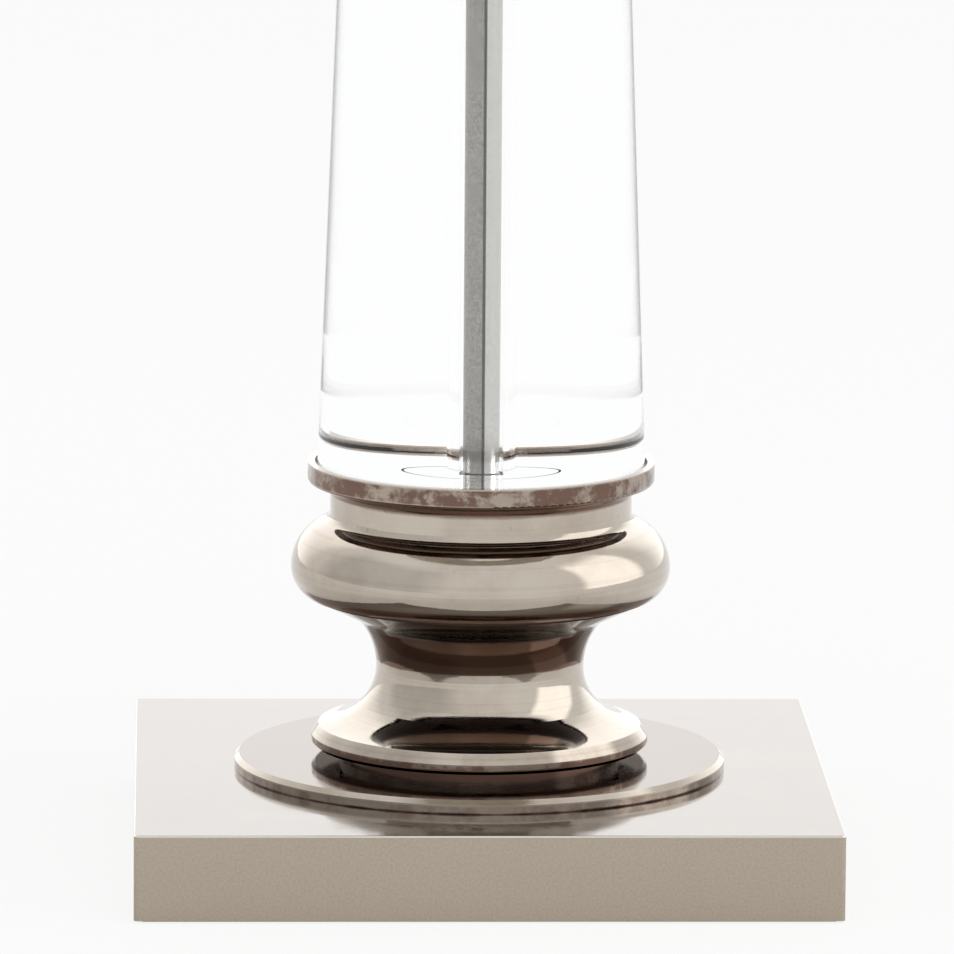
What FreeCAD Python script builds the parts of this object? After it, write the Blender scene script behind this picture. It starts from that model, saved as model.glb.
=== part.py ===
import FreeCAD, Part
import math
import os
import re

import Sketcher

# Candlestick table lamp: a square plinth, a turned pedestal, a solid glass column on a threaded tube,
# a lampholder, and a fabric shade on a wire harp. Millimetres, +Z up, origin at the centre of the felt's
# underside.

# Each driving dimension, written once. Lengths are in millimetres and bound below by name.
SIZES = {
    # plinth
    "plinth_side": 180.0,
    "plinth_height": 22.0,
    "plinth_wall": 3.0,
    "plinth_roof": 3.0,
    "plinth_corner_round": 1.4,
    "plinth_edge_round": 0.5,
    "felt_thickness": 1.5,
    "felt_proud": 0.6,
    "felt_margin": 0.4,
    "board_thickness": 2.0,
    "board_ledge": 1.4,
    "board_margin": 0.2,
    "ballast_thickness": 5.0,
    "ballast_margin": 4.0,
    # cord inlet
    "inlet_radius": 5.0,
    "inlet_height": 9.0,
    "bushing_bore_radius": 3.6,
    "bushing_flange_radius": 7.0,
    "bushing_flange_thickness": 1.4,
    "bushing_fit": 0.05,
    "bushing_lip": 0.7,
    "bushing_lip_length": 1.6,
    # threaded tube and its fastenings
    "tube_radius": 4.8,
    "tube_bore_radius": 3.3,
    "tube_clearance": 0.3,
    "tube_tail": 0.8,
    "thread_fit": 0.04,
    "washer_radius": 14.0,
    "washer_thickness": 1.2,
    "lock_washer_radius": 8.6,
    "lock_washer_thickness": 1.4,
    "lock_washer_split": 1.2,
    "nut_across_flats": 15.0,
    "nut_thickness": 3.5,
    "cut_margin": 1.0,
    # turned foot
    "disc_radius": 64.0,
    "disc_height": 3.6,
    "disc_bevel": 1.2,
    "foot_ring_radius": 36.5,
    "foot_ring_height": 2.4,
    # pedestal
    "flange_radius": 43.9,
    "flange_under_bevel": 1.0,
    "flange_band_top": 2.7,
    "flange_lip_radius": 42.1,
    "flange_lip_height": 5.4,
    "waist_radius": 27.1,
    "waist_height": 20.7,
    "lower_cove_round": 14.0,
    "upper_cove_round": 19.0,
    "upper_cove_turn": 36.0,
    "upper_curl_round": 8.0,
    "upper_curl_turn": 64.0,
    "upper_lip_radius": 43.4,
    "torus_round": 12.8,
    "torus_under_round": 8.6,
    "torus_reach": 49.45,
    "torus_centre_height": 47.1,
    "torus_start_height": 40.0,
    "neck_radius": 39.3,
    "neck_fillet": 2.5,
    "pedestal_height": 62.3,
    "pedestal_core_radius": 21.0,
    "pedestal_core_height": 50.0,
    # cup that carries the glass
    "cup_neck_height": 7.2,
    "cup_cove_round": 3.6,
    "cup_rim_height": 5.3,
    "cup_rim_wall": 1.8,
    "cup_rim_round": 0.9,
    "cup_recess_depth": 1.8,
    "cup_glass_gap": 0.6,
    "cup_core_radius": 30.0,
    "cup_core_depth": 6.0,
    # glass column
    "glass_foot_radius": 42.7,
    "glass_top_radius": 31.6,
    "glass_length": 300.0,
    "glass_bore_radius": 5.85,
    "glass_arris": 0.5,
    "gasket_thickness": 0.5,
    "gasket_hole_radius": 13.2,
    "gasket_margin": 1.0,
    # capital over the glass
    "capital_neck_radius": 28.5,
    "capital_neck_height": 6.0,
    "capital_height": 30.0,
    "capital_torus_round": 7.0,
    "capital_torus_start": 1.0,
    "capital_torus_end_radius": 27.0,
    "capital_torus_end_height": 13.0,
    "capital_step_radius": 25.5,
    "capital_step_height": 14.2,
    "capital_cove_round": 16.0,
    "capital_top_radius": 11.5,
    "capital_top_band": 2.0,
    "collar_height": 14.0,
    "collar_band": 2.2,
    "collar_waist_radius": 8.2,
    "collar_top_radius": 10.0,
    "check_ring_radius": 9.0,
    "check_ring_height": 4.0,
    "check_ring_groove": 0.6,
    "check_ring_grooves": 20,
    # harp saddle
    "saddle_width": 10.0,
    "saddle_thickness": 1.6,
    "saddle_half_span": 29.0,
    "saddle_rise": 19.0,
    "saddle_bend": 6.0,
    "post_radius": 2.2,
    "post_height": 8.0,
    # lampholder
    "cap_hub_radius": 7.4,
    "cap_hub_height": 6.0,
    "cap_height": 22.0,
    "cap_radius": 17.6,
    "cap_wall": 0.9,
    "cap_dome_round": 11.0,
    "cap_dome_height": 8.5,
    "shell_wall": 0.6,
    "shell_fit": 0.1,
    "shell_height": 52.0,
    "shell_lip": 1.4,
    "shell_bead_drop": 6.0,
    "shell_bead_width": 1.6,
    "shell_bead_round": 1.0,
    "sleeve_wall": 0.8,
    "sleeve_fit": 0.1,
    "sleeve_inset": 1.5,
    "insulator_gap": 0.2,
    "insulator_height": 25.0,
    "insulator_flat": 3.2,
    "screw_shell_radius": 13.3,
    "screw_shell_wall": 0.4,
    "screw_shell_height": 24.0,
    "contact_well_depth": 2.0,
    "contact_radius": 3.0,
    "contact_height": 1.5,
    "terminal_radius": 2.6,
    "terminal_head": 1.5,
    "terminal_foot": 3.0,
    "terminal_slot_half": 5.2,
    "set_screw_radius": 1.5,
    "set_screw_length": 3.0,
    # turn knob
    "shaft_radius": 1.6,
    "shaft_fit": 0.08,
    "shaft_depth": 5.0,
    "shaft_height": 10.0,
    "shaft_hole_radius": 2.6,
    "knob_radius": 6.0,
    "knob_length": 13.0,
    "knob_gap": 1.2,
    "knob_bevel": 0.9,
    "knob_flute": 0.9,
    "knob_flute_offset": 0.3,
    "knob_flutes": 12,
    "knob_crown": 2.0,
    # harp
    "harp_straight": 18.0,
    "harp_half_width": 58.0,
    "harp_foot_bend": 40.0,
    "harp_bow": 130.0,
    "harp_shoulder_bend": 22.0,
    "harp_crown_half": 12.0,
    "ferrule_length": 14.0,
    "ferrule_wall": 1.2,
    "ferrule_fit": 0.08,
    "stud_base_radius": 6.0,
    "stud_base_height": 6.5,
    "stud_base_drop": 0.8,
    "stud_radius": 3.17,
    "stud_height": 12.0,
    "stud_bevel": 0.6,
    # shade
    "shade_height": 235.0,
    "shade_top_radius": 127.5,
    "shade_bottom_radius": 187.5,
    "shade_thickness": 0.9,
    "fitter_drop": 12.0,
    "fitter_hub_radius": 12.0,
    "fitter_hub_thickness": 1.5,
    "fitter_hub_clearance": 0.33,
    "fitter_arms": 3,
    "ring_wire_radius": 1.5,
    "trim_width": 12.0,
    "trim_thickness": 0.6,
    # finial
    "finial_base_radius": 8.0,
    "finial_base_height": 3.0,
    "finial_neck_radius": 4.6,
    "finial_neck_height": 9.0,
    "finial_ball_radius": 9.5,
    "finial_cove_round": 7.2,
    "finial_fit": 0.08,
    "finial_bore_depth": 11.5,
}

# Levels and radii that follow from the sizes, as formulas that the bound expressions spell out.
RELATIONS = {
    "bore_radius": "tube_radius + tube_clearance",
    "nut_bore_radius": "tube_radius + thread_fit",
    "board_level": "felt_thickness",
    "plinth_level": "felt_proud",
    "roof_level": "felt_proud + plinth_height - plinth_roof",
    "ballast_level": "roof_level - ballast_thickness",
    "washer_level": "ballast_level - washer_thickness",
    "lock_washer_level": "washer_level - lock_washer_thickness",
    "nut_level": "lock_washer_level - nut_thickness",
    "tube_level": "nut_level - tube_tail",
    "disc_level": "felt_proud + plinth_height",
    "foot_ring_level": "disc_level + disc_height",
    "pedestal_level": "foot_ring_level + foot_ring_height",
    "cup_level": "pedestal_level + pedestal_height",
    "cup_inner_radius": "glass_foot_radius + cup_glass_gap",
    "cup_outer_radius": "cup_inner_radius + cup_rim_wall",
    "cup_height": "cup_neck_height + cup_rim_height",
    "lower_gasket_level": "cup_level + cup_height - cup_recess_depth",
    "glass_level": "lower_gasket_level + gasket_thickness",
    "upper_gasket_level": "glass_level + glass_length",
    "upper_cup_level": "upper_gasket_level + gasket_thickness - cup_recess_depth",
    "upper_cup_inner_radius": "glass_top_radius + cup_glass_gap",
    "upper_cup_outer_radius": "upper_cup_inner_radius + cup_rim_wall",
    "upper_cup_height": "cup_rim_height + capital_neck_height",
    "capital_level": "upper_cup_level + upper_cup_height",
    "collar_level": "capital_level + capital_height",
    "check_ring_level": "collar_level + collar_height",
    "saddle_level": "check_ring_level + check_ring_height",
    "cap_level": "saddle_level + saddle_thickness",
    "tube_length": "cap_level + cap_hub_height - tube_level",
    "shell_radius": "cap_radius - cap_wall - shell_fit",
    "shell_level": "cap_level + cap_hub_height + cap_dome_height",
    "sleeve_radius": "shell_radius - shell_wall - sleeve_fit",
    "sleeve_height": "shell_height - sleeve_inset",
    "insulator_radius": "sleeve_radius - sleeve_wall - insulator_gap",
    "screw_shell_level": "shell_level + insulator_height",
    "shaft_level": "shell_level + shaft_height",
    "knob_foot": "shell_radius + knob_gap",
    "post_level": "saddle_level + saddle_rise",
    "harp_level": "post_level + post_height",
    "harp_turn_cos": "1 - (harp_half_width - saddle_half_span) / (harp_foot_bend + harp_bow)",
    "harp_turn_sin": "sqrt(1 - harp_turn_cos * harp_turn_cos)",
    "harp_crown_cos": "(harp_crown_half - harp_half_width + harp_bow) / (harp_bow - harp_shoulder_bend)",
    "harp_crown_sin": "sqrt(1 - harp_crown_cos * harp_crown_cos)",
    "harp_foot_x": "saddle_half_span + harp_foot_bend * (1 - harp_turn_cos)",
    "harp_foot_z": "harp_straight + harp_foot_bend * harp_turn_sin",
    "harp_bow_z": "harp_straight + (harp_foot_bend + harp_bow) * harp_turn_sin",
    "harp_shoulder_x": "harp_half_width - harp_bow + harp_bow * harp_crown_cos",
    "harp_shoulder_z": "harp_bow_z + harp_bow * harp_crown_sin",
    "harp_rise": "harp_bow_z + (harp_bow - harp_shoulder_bend) * harp_crown_sin + harp_shoulder_bend",
    "stud_level": "harp_level + harp_rise - post_radius",
    "fitter_level": "stud_level + stud_base_height",
    "shade_level": "fitter_level + fitter_drop - shade_height",
    "shade_slope": "(shade_bottom_radius - shade_top_radius) / shade_height",
    "shade_secant": "sqrt(1 + shade_slope * shade_slope)",
    "top_ring_radius":
        "shade_top_radius - shade_thickness + (ring_wire_radius * (shade_slope - shade_secant))",
    "bottom_ring_radius":
        "shade_bottom_radius - shade_thickness - (ring_wire_radius * (shade_slope + shade_secant))",
    "finial_level": "fitter_level + fitter_hub_thickness",
}

DOC = FreeCAD.newDocument("CandlestickLamp")
SHEET = DOC.addObject("Spreadsheet::Sheet", "Sizes")
PARTS = []
ORIGIN_POINT = -1
VERTICAL_AXIS = -2
HORIZONTAL_AXIS = -1
START, END, CENTRE = range(1, 4)
LEFT, RIGHT = 1, -1
X_AXIS = FreeCAD.Vector(1, 0, 0)
Y_AXIS = FreeCAD.Vector(0, 1, 0)
NUT_SIDES = 6
WIRE_SIDES = 8
SAME = 1e-7
NEAR = 1e-4


def fill_sheet():
    """Write every driving dimension to the sheet, one row each, under its own alias."""
    for row, (name, number) in enumerate(SIZES.items(), start=1):
        SHEET.set(f"A{row}", name)
        SHEET.set(f"B{row}", str(number))
        SHEET.setAlias(f"B{row}", name)
    DOC.recompute()


def bound(text):
    """The formula with each size pointing at its cell and each relation spelled out."""

    def swap(match):
        word = match.group()
        if word in SIZES:
            return "Sizes." + word
        if word in RELATIONS:
            return "(" + bound(RELATIONS[word]) + ")"
        return word

    return re.sub(r"[a-z][a-z_]*", swap, str(text))


def value(text):
    """The number that a formula gives with the sheet as it stands."""
    return float(SHEET.evalExpression(bound(text)))


def new_body(label, level="0", turn=None):
    """A body for one piece, standing at a level on the lamp's axis."""
    body = DOC.addObject("PartDesign::Body", label)
    body.Label = label
    if turn is not None:
        body.Placement.Rotation = turn
    body.setExpression("Placement.Base.z", bound(level))
    PARTS.append(body)
    return body


def new_sketch(body, role, offset=None):
    """A sketch on one of the body's own origin planes, or lifted off it by a formula."""
    sketch = body.newObject("Sketcher::SketchObject", body.Label + "_outline")
    plane = next(item for item in body.Origin.OriginFeatures if item.Role == role)
    sketch.AttachmentSupport = [(plane, "")]
    sketch.MapMode = "FlatFace"
    if offset is not None:
        sketch.setExpression("AttachmentOffset.Base.z", bound(offset))
    return sketch


def pin_coordinate(sketch, item, end, kind, text):
    """Hold one coordinate of a point at a formula, or on the axis where it is zero."""
    number = value(text)
    if abs(number) < SAME:
        axis = VERTICAL_AXIS if kind == "DistanceX" else HORIZONTAL_AXIS
        sketch.addConstraint(Sketcher.Constraint("PointOnObject", item, end, axis))
        return
    if number > 0:
        rule = Sketcher.Constraint(kind, ORIGIN_POINT, START, item, end, number)
        formula = bound(text)
    else:
        rule = Sketcher.Constraint(kind, item, end, ORIGIN_POINT, START, -number)
        formula = f"-({bound(text)})"
    index = sketch.addConstraint(rule)
    sketch.setExpression(f"Constraints[{index}]", formula)


def arc_between(first, last, radius, side):
    """A circular arc from first to last; side LEFT bulges to the left of the way, RIGHT to the right.

    A sketch's arcs run counter-clockwise, so one that bulges to the left is written from its last point.
    """
    middle = (first + last) * 0.5
    half = (last - first) * 0.5
    left = FreeCAD.Vector(-half.y, half.x, 0).normalize()
    reach = math.sqrt(max(radius * radius - half.Length ** 2, 0.0))
    crown = middle + left * side * (radius - reach)
    return Part.Arc(last, crown, first) if side == LEFT else Part.Arc(first, crown, last)


def draw(sketch, steps, closed=True):
    """Draw a chain of straight and round steps, each corner and radius bound to a formula.

    A step is (x, y) for a straight run to that corner or (x, y, radius, side) for an arc to it. The first
    step is the start; a closed chain returns to it with a straight run, unless its last step is there.
    """
    points = [FreeCAD.Vector(value(step[0]), value(step[1]), 0) for step in steps]
    if closed and points[-1].distanceToPoint(points[0]) > SAME:
        steps = steps + [steps[0][:2]]
        points = points + [points[0]]
    ends = []
    for index in range(1, len(steps)):
        step = steps[index]
        first, last = points[index - 1], points[index]
        if len(step) == 2:
            item = sketch.addGeometry(Part.LineSegment(first, last))
        else:
            item = sketch.addGeometry(arc_between(first, last, value(step[2]), step[3]))
        straight = sketch.Geometry[item].StartPoint.distanceToPoint(first) < NEAR
        ends.append((item, START, END) if straight else (item, END, START))
    for (item, first_end, _), step in zip(ends, steps):
        pin_coordinate(sketch, item, first_end, "DistanceX", step[0])
        pin_coordinate(sketch, item, first_end, "DistanceY", step[1])
    for one, two in zip(ends, ends[1:] + (ends[:1] if closed else [])):
        sketch.addConstraint(Sketcher.Constraint("Coincident", one[0], one[2], two[0], two[1]))
    if not closed:
        item, _, last_end = ends[-1]
        pin_coordinate(sketch, item, last_end, "DistanceX", steps[-1][0])
        pin_coordinate(sketch, item, last_end, "DistanceY", steps[-1][1])
    for (item, _, _), step in zip(ends, steps[1:]):
        if len(step) == 4:
            index = sketch.addConstraint(Sketcher.Constraint("Radius", item, value(step[2])))
            sketch.setExpression(f"Constraints[{index}]", bound(step[2]))
    return sketch


def draw_circle(sketch, radius, x="0", y="0"):
    """A circle of a bound radius about a bound centre."""
    centre = FreeCAD.Vector(value(x), value(y), 0)
    circle = Part.Circle(centre, FreeCAD.Vector(0, 0, 1), value(radius))
    item = sketch.addGeometry(circle)
    index = sketch.addConstraint(Sketcher.Constraint("Radius", item, value(radius)))
    sketch.setExpression(f"Constraints[{index}]", bound(radius))
    pin_coordinate(sketch, item, CENTRE, "DistanceX", x)
    pin_coordinate(sketch, item, CENTRE, "DistanceY", y)
    return sketch


def rectangle(half_x, half_y):
    """The corners of a rectangle about the origin."""
    return [(f"-({half_x})", f"-({half_y})"), (half_x, f"-({half_y})"),
            (half_x, half_y), (f"-({half_x})", half_y)]


def turned(body, steps):
    """Turn an outline of (radius, height) steps about the body's upright axis."""
    sketch = draw(new_sketch(body, "XZ_Plane"), steps)
    feature = body.newObject("PartDesign::Revolution", body.Label + "_turning")
    feature.Profile = sketch
    feature.ReferenceAxis = (sketch, ["V_Axis"])
    feature.Angle = 360
    DOC.recompute()
    return feature


def ring(label, level, inner, outer, height):
    """A plain flat ring."""
    body = new_body(label, level)
    turned(body, [(inner, "0"), (outer, "0"), (outer, height), (inner, height)])
    return body


def padded(body, sketch, length, midplane=False, reversed_way=False):
    """Pad a sketch by a bound length."""
    feature = body.newObject("PartDesign::Pad", body.Label + "_pad")
    feature.Profile = sketch
    feature.setExpression("Length", bound(length))
    feature.Midplane = midplane
    feature.Reversed = reversed_way
    DOC.recompute()
    return feature


def pocketed(body, sketch, length, reversed_way=False, midplane=False):
    """Cut a sketch by a bound depth, and make sure that something was cut."""
    before = body.Shape.Volume
    feature = body.newObject("PartDesign::Pocket", body.Label + "_pocket")
    feature.Profile = sketch
    feature.setExpression("Length", bound(length))
    feature.Reversed = reversed_way
    feature.Midplane = midplane
    DOC.recompute()
    if body.Shape.Volume > before - SAME:
        raise ValueError(f"the cut in {body.Label} removed nothing")
    return feature


def rounded(body, chosen, radius, kind="Fillet"):
    """Round or bevel the edges of the body's tip that a test picks."""
    tip = body.Tip
    names = [f"Edge{index}" for index, edge in enumerate(tip.Shape.Edges, start=1) if chosen(edge)]
    feature = body.newObject("PartDesign::" + kind, body.Label + "_" + kind.lower())
    feature.Base = (tip, names)
    feature.setExpression("Radius" if kind == "Fillet" else "Size", bound(radius))
    DOC.recompute()
    return feature


def repeated(body, feature, count):
    """Repeat a feature round the body's upright axis, as often as a named count says."""
    pattern = body.newObject("PartDesign::PolarPattern", body.Label + "_pattern")
    pattern.Originals = [feature]
    axis = next(item for item in body.Origin.OriginFeatures if item.Role == "Z_Axis")
    pattern.Axis = (axis, [""])
    pattern.Angle = 360
    pattern.setExpression("Occurrences", bound(count))
    body.Tip = pattern
    DOC.recompute()
    return pattern


def tangent_radius(run, rise):
    """The radius of the arc that leaves at 45 degrees and lands a run across and a rise along."""
    return f"(({run}) * ({run}) + ({rise}) * ({rise})) / (sqrt(2) * (({run}) - ({rise})))"


# Plinth and what it holds

def make_plinth():
    """Square metal plinth: a box open below, rebated for the base board, with a cord hole behind."""
    body = new_body("plinth", "plinth_level")
    half = "plinth_side / 2"
    padded(body, draw(new_sketch(body, "XY_Plane"), rectangle(half, half)), "plinth_height")

    def upright(edge):
        return edge.BoundBox.ZLength > value("plinth_height") - NEAR

    rounded(body, upright, "plinth_corner_round")
    top = value("plinth_height")
    rounded(body, lambda edge: edge.BoundBox.ZMin > top - NEAR, "plinth_edge_round")
    inner = "plinth_side / 2 - plinth_wall"
    hollow = draw(new_sketch(body, "XY_Plane"), rectangle(inner, inner))
    pocketed(body, hollow, "plinth_height - plinth_roof", reversed_way=True)
    ledge = "plinth_side / 2 - plinth_wall + board_ledge"
    rebate = draw(new_sketch(body, "XY_Plane"), rectangle(ledge, ledge))
    pocketed(body, rebate, "board_level + board_thickness - plinth_level", reversed_way=True)
    bore = draw_circle(new_sketch(body, "XY_Plane"), "bore_radius")
    pocketed(body, bore, "plinth_height", reversed_way=True)
    back = new_sketch(body, "XZ_Plane", "-(plinth_side / 2)")
    inlet = draw_circle(back, "inlet_radius", "0", "inlet_height")
    pocketed(body, inlet, "2 * plinth_wall", midplane=True)


def make_base_board():
    """Stiff board that closes the plinth from below."""
    body = new_body("base_board", "board_level")
    half = "plinth_side / 2 - plinth_wall + board_ledge - board_margin"
    padded(body, draw(new_sketch(body, "XY_Plane"), rectangle(half, half)), "board_thickness")


def make_felt_pad():
    """Felt glued under the board; the lamp stands on it."""
    body = new_body("felt_pad", "0")
    half = "plinth_side / 2 - plinth_wall + board_ledge - felt_margin"
    padded(body, draw(new_sketch(body, "XY_Plane"), rectangle(half, half)), "felt_thickness")


def make_ballast_plate():
    """Steel weight clamped under the plinth's roof."""
    body = new_body("ballast_plate", "ballast_level")
    half = "plinth_side / 2 - plinth_wall - ballast_margin"
    sketch = draw(new_sketch(body, "XY_Plane"), rectangle(half, half))
    draw_circle(sketch, "bore_radius")
    padded(body, sketch, "ballast_thickness")


def make_cord_bushing():
    """Flanged bushing snapped into the plinth's back wall, its axis along +Y."""
    body = new_body("cord_bushing", "plinth_level + inlet_height", FreeCAD.Rotation(X_AXIS, -90))
    body.setExpression("Placement.Base.y", bound("plinth_side / 2 - plinth_wall"))
    lip = "inlet_radius + bushing_lip"
    snug = "inlet_radius - bushing_fit"
    face = "plinth_wall"
    turned(body, [
        ("bushing_bore_radius", "-bushing_lip_length"),
        ("inlet_radius - bushing_lip", "-bushing_lip_length"),
        (lip, "0"),
        (snug, "0"),
        (snug, face),
        ("bushing_flange_radius", face),
        ("bushing_flange_radius", f"{face} + bushing_flange_thickness / 2"),
        ("bushing_flange_radius - bushing_flange_thickness / 2", f"{face} + bushing_flange_thickness"),
        ("bushing_bore_radius", f"{face} + bushing_flange_thickness"),
    ])


def make_base_fastenings():
    """Washer, split lock washer and hexagon nut that pull the tube down."""
    ring("base_washer", "washer_level", "bore_radius", "washer_radius", "washer_thickness")
    lock = ring("lock_washer", "lock_washer_level", "bore_radius", "lock_washer_radius",
                "lock_washer_thickness")
    split = draw(new_sketch(lock, "XY_Plane"), [
        ("0", "-lock_washer_split / 2"),
        ("lock_washer_radius + cut_margin", "-lock_washer_split / 2"),
        ("lock_washer_radius + cut_margin", "lock_washer_split / 2"),
        ("0", "lock_washer_split / 2"),
    ])
    pocketed(lock, split, "lock_washer_thickness", reversed_way=True)
    nut = new_body("base_nut", "nut_level")
    sketch = new_sketch(nut, "XY_Plane")
    corner = "nut_across_flats / sqrt(3)"
    corners = []
    for side in range(NUT_SIDES):
        turn = side * 360 / NUT_SIDES
        corners.append((f"{corner} * cos({turn})", f"{corner} * sin({turn})"))
    draw(sketch, corners)
    draw_circle(sketch, "nut_bore_radius")
    padded(nut, sketch, "nut_thickness")


def make_centre_tube():
    """Threaded tube that runs from the plinth to the lampholder and holds the whole stack together."""
    ring("centre_tube", "tube_level", "tube_bore_radius", "tube_radius", "tube_length")


# Turned metal below the glass

def make_foot():
    """Bevelled disc and the narrow ring that lifts the pedestal off it."""
    disc = new_body("foot_disc", "disc_level")
    turned(disc, [
        ("bore_radius", "0"),
        ("disc_radius", "0"),
        ("disc_radius", "disc_height - disc_bevel"),
        ("disc_radius - disc_bevel", "disc_height"),
        ("bore_radius", "disc_height"),
    ])
    ring("foot_ring", "foot_ring_level", "bore_radius", "foot_ring_radius", "foot_ring_height")


def make_pedestal():
    """Turned pedestal: flange, lower cove, waist, upper cove, torus and neck, cored from below."""
    body = new_body("pedestal", "pedestal_level")
    root_half = "sqrt(2) / 2"
    low_x = f"waist_radius + lower_cove_round * (1 - {root_half})"
    low_z = f"waist_height - lower_cove_round * {root_half}"
    lower_sweep = tangent_radius(f"flange_lip_radius - ({low_x})", f"{low_z} - flange_lip_height")
    high_x = "waist_radius + upper_cove_round * (1 - cos(upper_cove_turn))"
    high_z = "waist_height + upper_cove_round * sin(upper_cove_turn)"
    curl_x = f"{high_x} + upper_curl_round * (cos(upper_cove_turn) - cos(upper_curl_turn))"
    curl_z = f"{high_z} + upper_curl_round * (sin(upper_curl_turn) - sin(upper_cove_turn))"
    lip_z = f"{curl_z} + (upper_lip_radius - ({curl_x})) * cos(upper_curl_turn) / sin(upper_curl_turn)"
    start_rise = "(torus_centre_height - torus_start_height)"
    start_run = f"sqrt(torus_under_round * torus_under_round - {start_rise} * {start_rise})"
    torus_x = "torus_reach - torus_round"
    reach = "(torus_round + neck_fillet)"
    fillet_run = f"(neck_radius + neck_fillet - ({torus_x}))"
    fillet_rise = f"sqrt({reach} * {reach} - {fillet_run} * {fillet_run})"
    turned(body, [
        ("pedestal_core_radius", "0"),
        ("flange_radius - flange_under_bevel", "0"),
        ("flange_radius", "flange_under_bevel"),
        ("flange_radius", "flange_band_top"),
        ("flange_lip_radius", "flange_lip_height"),
        (low_x, low_z, lower_sweep, LEFT),
        ("waist_radius", "waist_height", "lower_cove_round", LEFT),
        (high_x, high_z, "upper_cove_round", LEFT),
        (curl_x, curl_z, "upper_curl_round", LEFT),
        ("upper_lip_radius", lip_z),
        ("upper_lip_radius", "torus_start_height"),
        (f"torus_reach - torus_under_round + {start_run}", "torus_start_height"),
        ("torus_reach", "torus_centre_height", "torus_under_round", RIGHT),
        (f"{torus_x} + torus_round * {fillet_run} / {reach}",
         f"torus_centre_height + torus_round * {fillet_rise} / {reach}", "torus_round", RIGHT),
        ("neck_radius", f"torus_centre_height + {fillet_rise}", "neck_fillet", LEFT),
        ("neck_radius", "pedestal_height"),
        ("bore_radius", "pedestal_height"),
        ("bore_radius", "pedestal_core_height"),
        ("pedestal_core_radius", "pedestal_core_height"),
    ])


def make_cup():
    """Neck and shallow rimmed cup in which the glass column stands."""
    body = new_body("glass_cup", "cup_level")
    floor = "cup_height - cup_recess_depth"
    turned(body, [
        ("cup_core_radius", "0"),
        ("neck_radius", "0"),
        ("neck_radius", "cup_neck_height - cup_cove_round"),
        ("neck_radius + cup_cove_round", "cup_neck_height", "cup_cove_round", LEFT),
        ("cup_outer_radius - cup_rim_round", "cup_neck_height"),
        ("cup_outer_radius", "cup_neck_height + cup_rim_round", "cup_rim_round", RIGHT),
        ("cup_outer_radius", "cup_height"),
        ("cup_inner_radius", "cup_height"),
        ("cup_inner_radius", floor),
        ("bore_radius", floor),
        ("bore_radius", "cup_core_depth"),
        ("cup_core_radius", "cup_core_depth"),
    ])


# Glass column

def make_glass():
    """Solid tapered glass column with a through bore, between two thin gaskets."""
    ring("lower_gasket", "lower_gasket_level", "gasket_hole_radius", "glass_foot_radius - gasket_margin",
         "gasket_thickness")
    body = new_body("glass_column", "glass_level")
    taper = "(glass_foot_radius - glass_top_radius) / glass_length * glass_arris"
    turned(body, [
        ("glass_bore_radius", "0"),
        ("glass_foot_radius - glass_arris", "0"),
        (f"glass_foot_radius - {taper}", "glass_arris"),
        (f"glass_top_radius + {taper}", "glass_length - glass_arris"),
        ("glass_top_radius - glass_arris", "glass_length"),
        ("glass_bore_radius", "glass_length"),
    ])
    ring("upper_gasket", "upper_gasket_level", "gasket_hole_radius", "glass_top_radius - gasket_margin",
         "gasket_thickness")


# Turned metal above the glass

def make_upper_cup():
    """Inverted cup that caps the glass, the lower cup's shape at the column's top size."""
    body = new_body("upper_cup", "upper_cup_level")
    turned(body, [
        ("upper_cup_inner_radius", "0"),
        ("upper_cup_outer_radius", "0"),
        ("upper_cup_outer_radius", "cup_rim_height - cup_rim_round"),
        ("upper_cup_outer_radius - cup_rim_round", "cup_rim_height", "cup_rim_round", RIGHT),
        ("capital_neck_radius", "cup_rim_height"),
        ("capital_neck_radius", "upper_cup_height"),
        ("bore_radius", "upper_cup_height"),
        ("bore_radius", "cup_recess_depth"),
        ("upper_cup_inner_radius", "cup_recess_depth"),
    ])


def make_capital():
    """Torus, step and cove that draw the column in to the lampholder."""
    body = new_body("capital", "capital_level")
    turned(body, [
        ("bore_radius", "0"),
        ("capital_neck_radius", "0"),
        ("capital_neck_radius", "capital_torus_start"),
        ("capital_torus_end_radius", "capital_torus_end_height", "capital_torus_round", RIGHT),
        ("capital_step_radius", "capital_torus_end_height"),
        ("capital_step_radius", "capital_step_height"),
        ("capital_top_radius", "capital_height - capital_top_band", "capital_cove_round", LEFT),
        ("capital_top_radius", "capital_height"),
        ("bore_radius", "capital_height"),
    ])


def make_collar():
    """Small waisted spool between the capital and the lampholder."""
    body = new_body("neck_collar", "collar_level")
    half = "(collar_height / 2 - collar_band)"
    dip = "(collar_top_radius - collar_waist_radius)"
    waist_round = f"({half} * {half} + {dip} * {dip}) / (2 * {dip})"
    turned(body, [
        ("bore_radius", "0"),
        ("collar_top_radius", "0"),
        ("collar_top_radius", "collar_band"),
        ("collar_top_radius", "collar_height - collar_band", waist_round, LEFT),
        ("collar_top_radius", "collar_height"),
        ("bore_radius", "collar_height"),
    ])


def make_check_ring():
    """Knurled locking ring that jams against the collar."""
    body = ring("check_ring", "check_ring_level", "nut_bore_radius", "check_ring_radius", "check_ring_height")
    sketch = draw(new_sketch(body, "XY_Plane"), [
        ("check_ring_radius - check_ring_groove", "0"),
        ("check_ring_radius + check_ring_groove", "-check_ring_groove * 2"),
        ("check_ring_radius + check_ring_groove", "check_ring_groove * 2"),
    ])
    groove = pocketed(body, sketch, "check_ring_height", reversed_way=True)
    repeated(body, groove, "check_ring_grooves")


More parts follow.
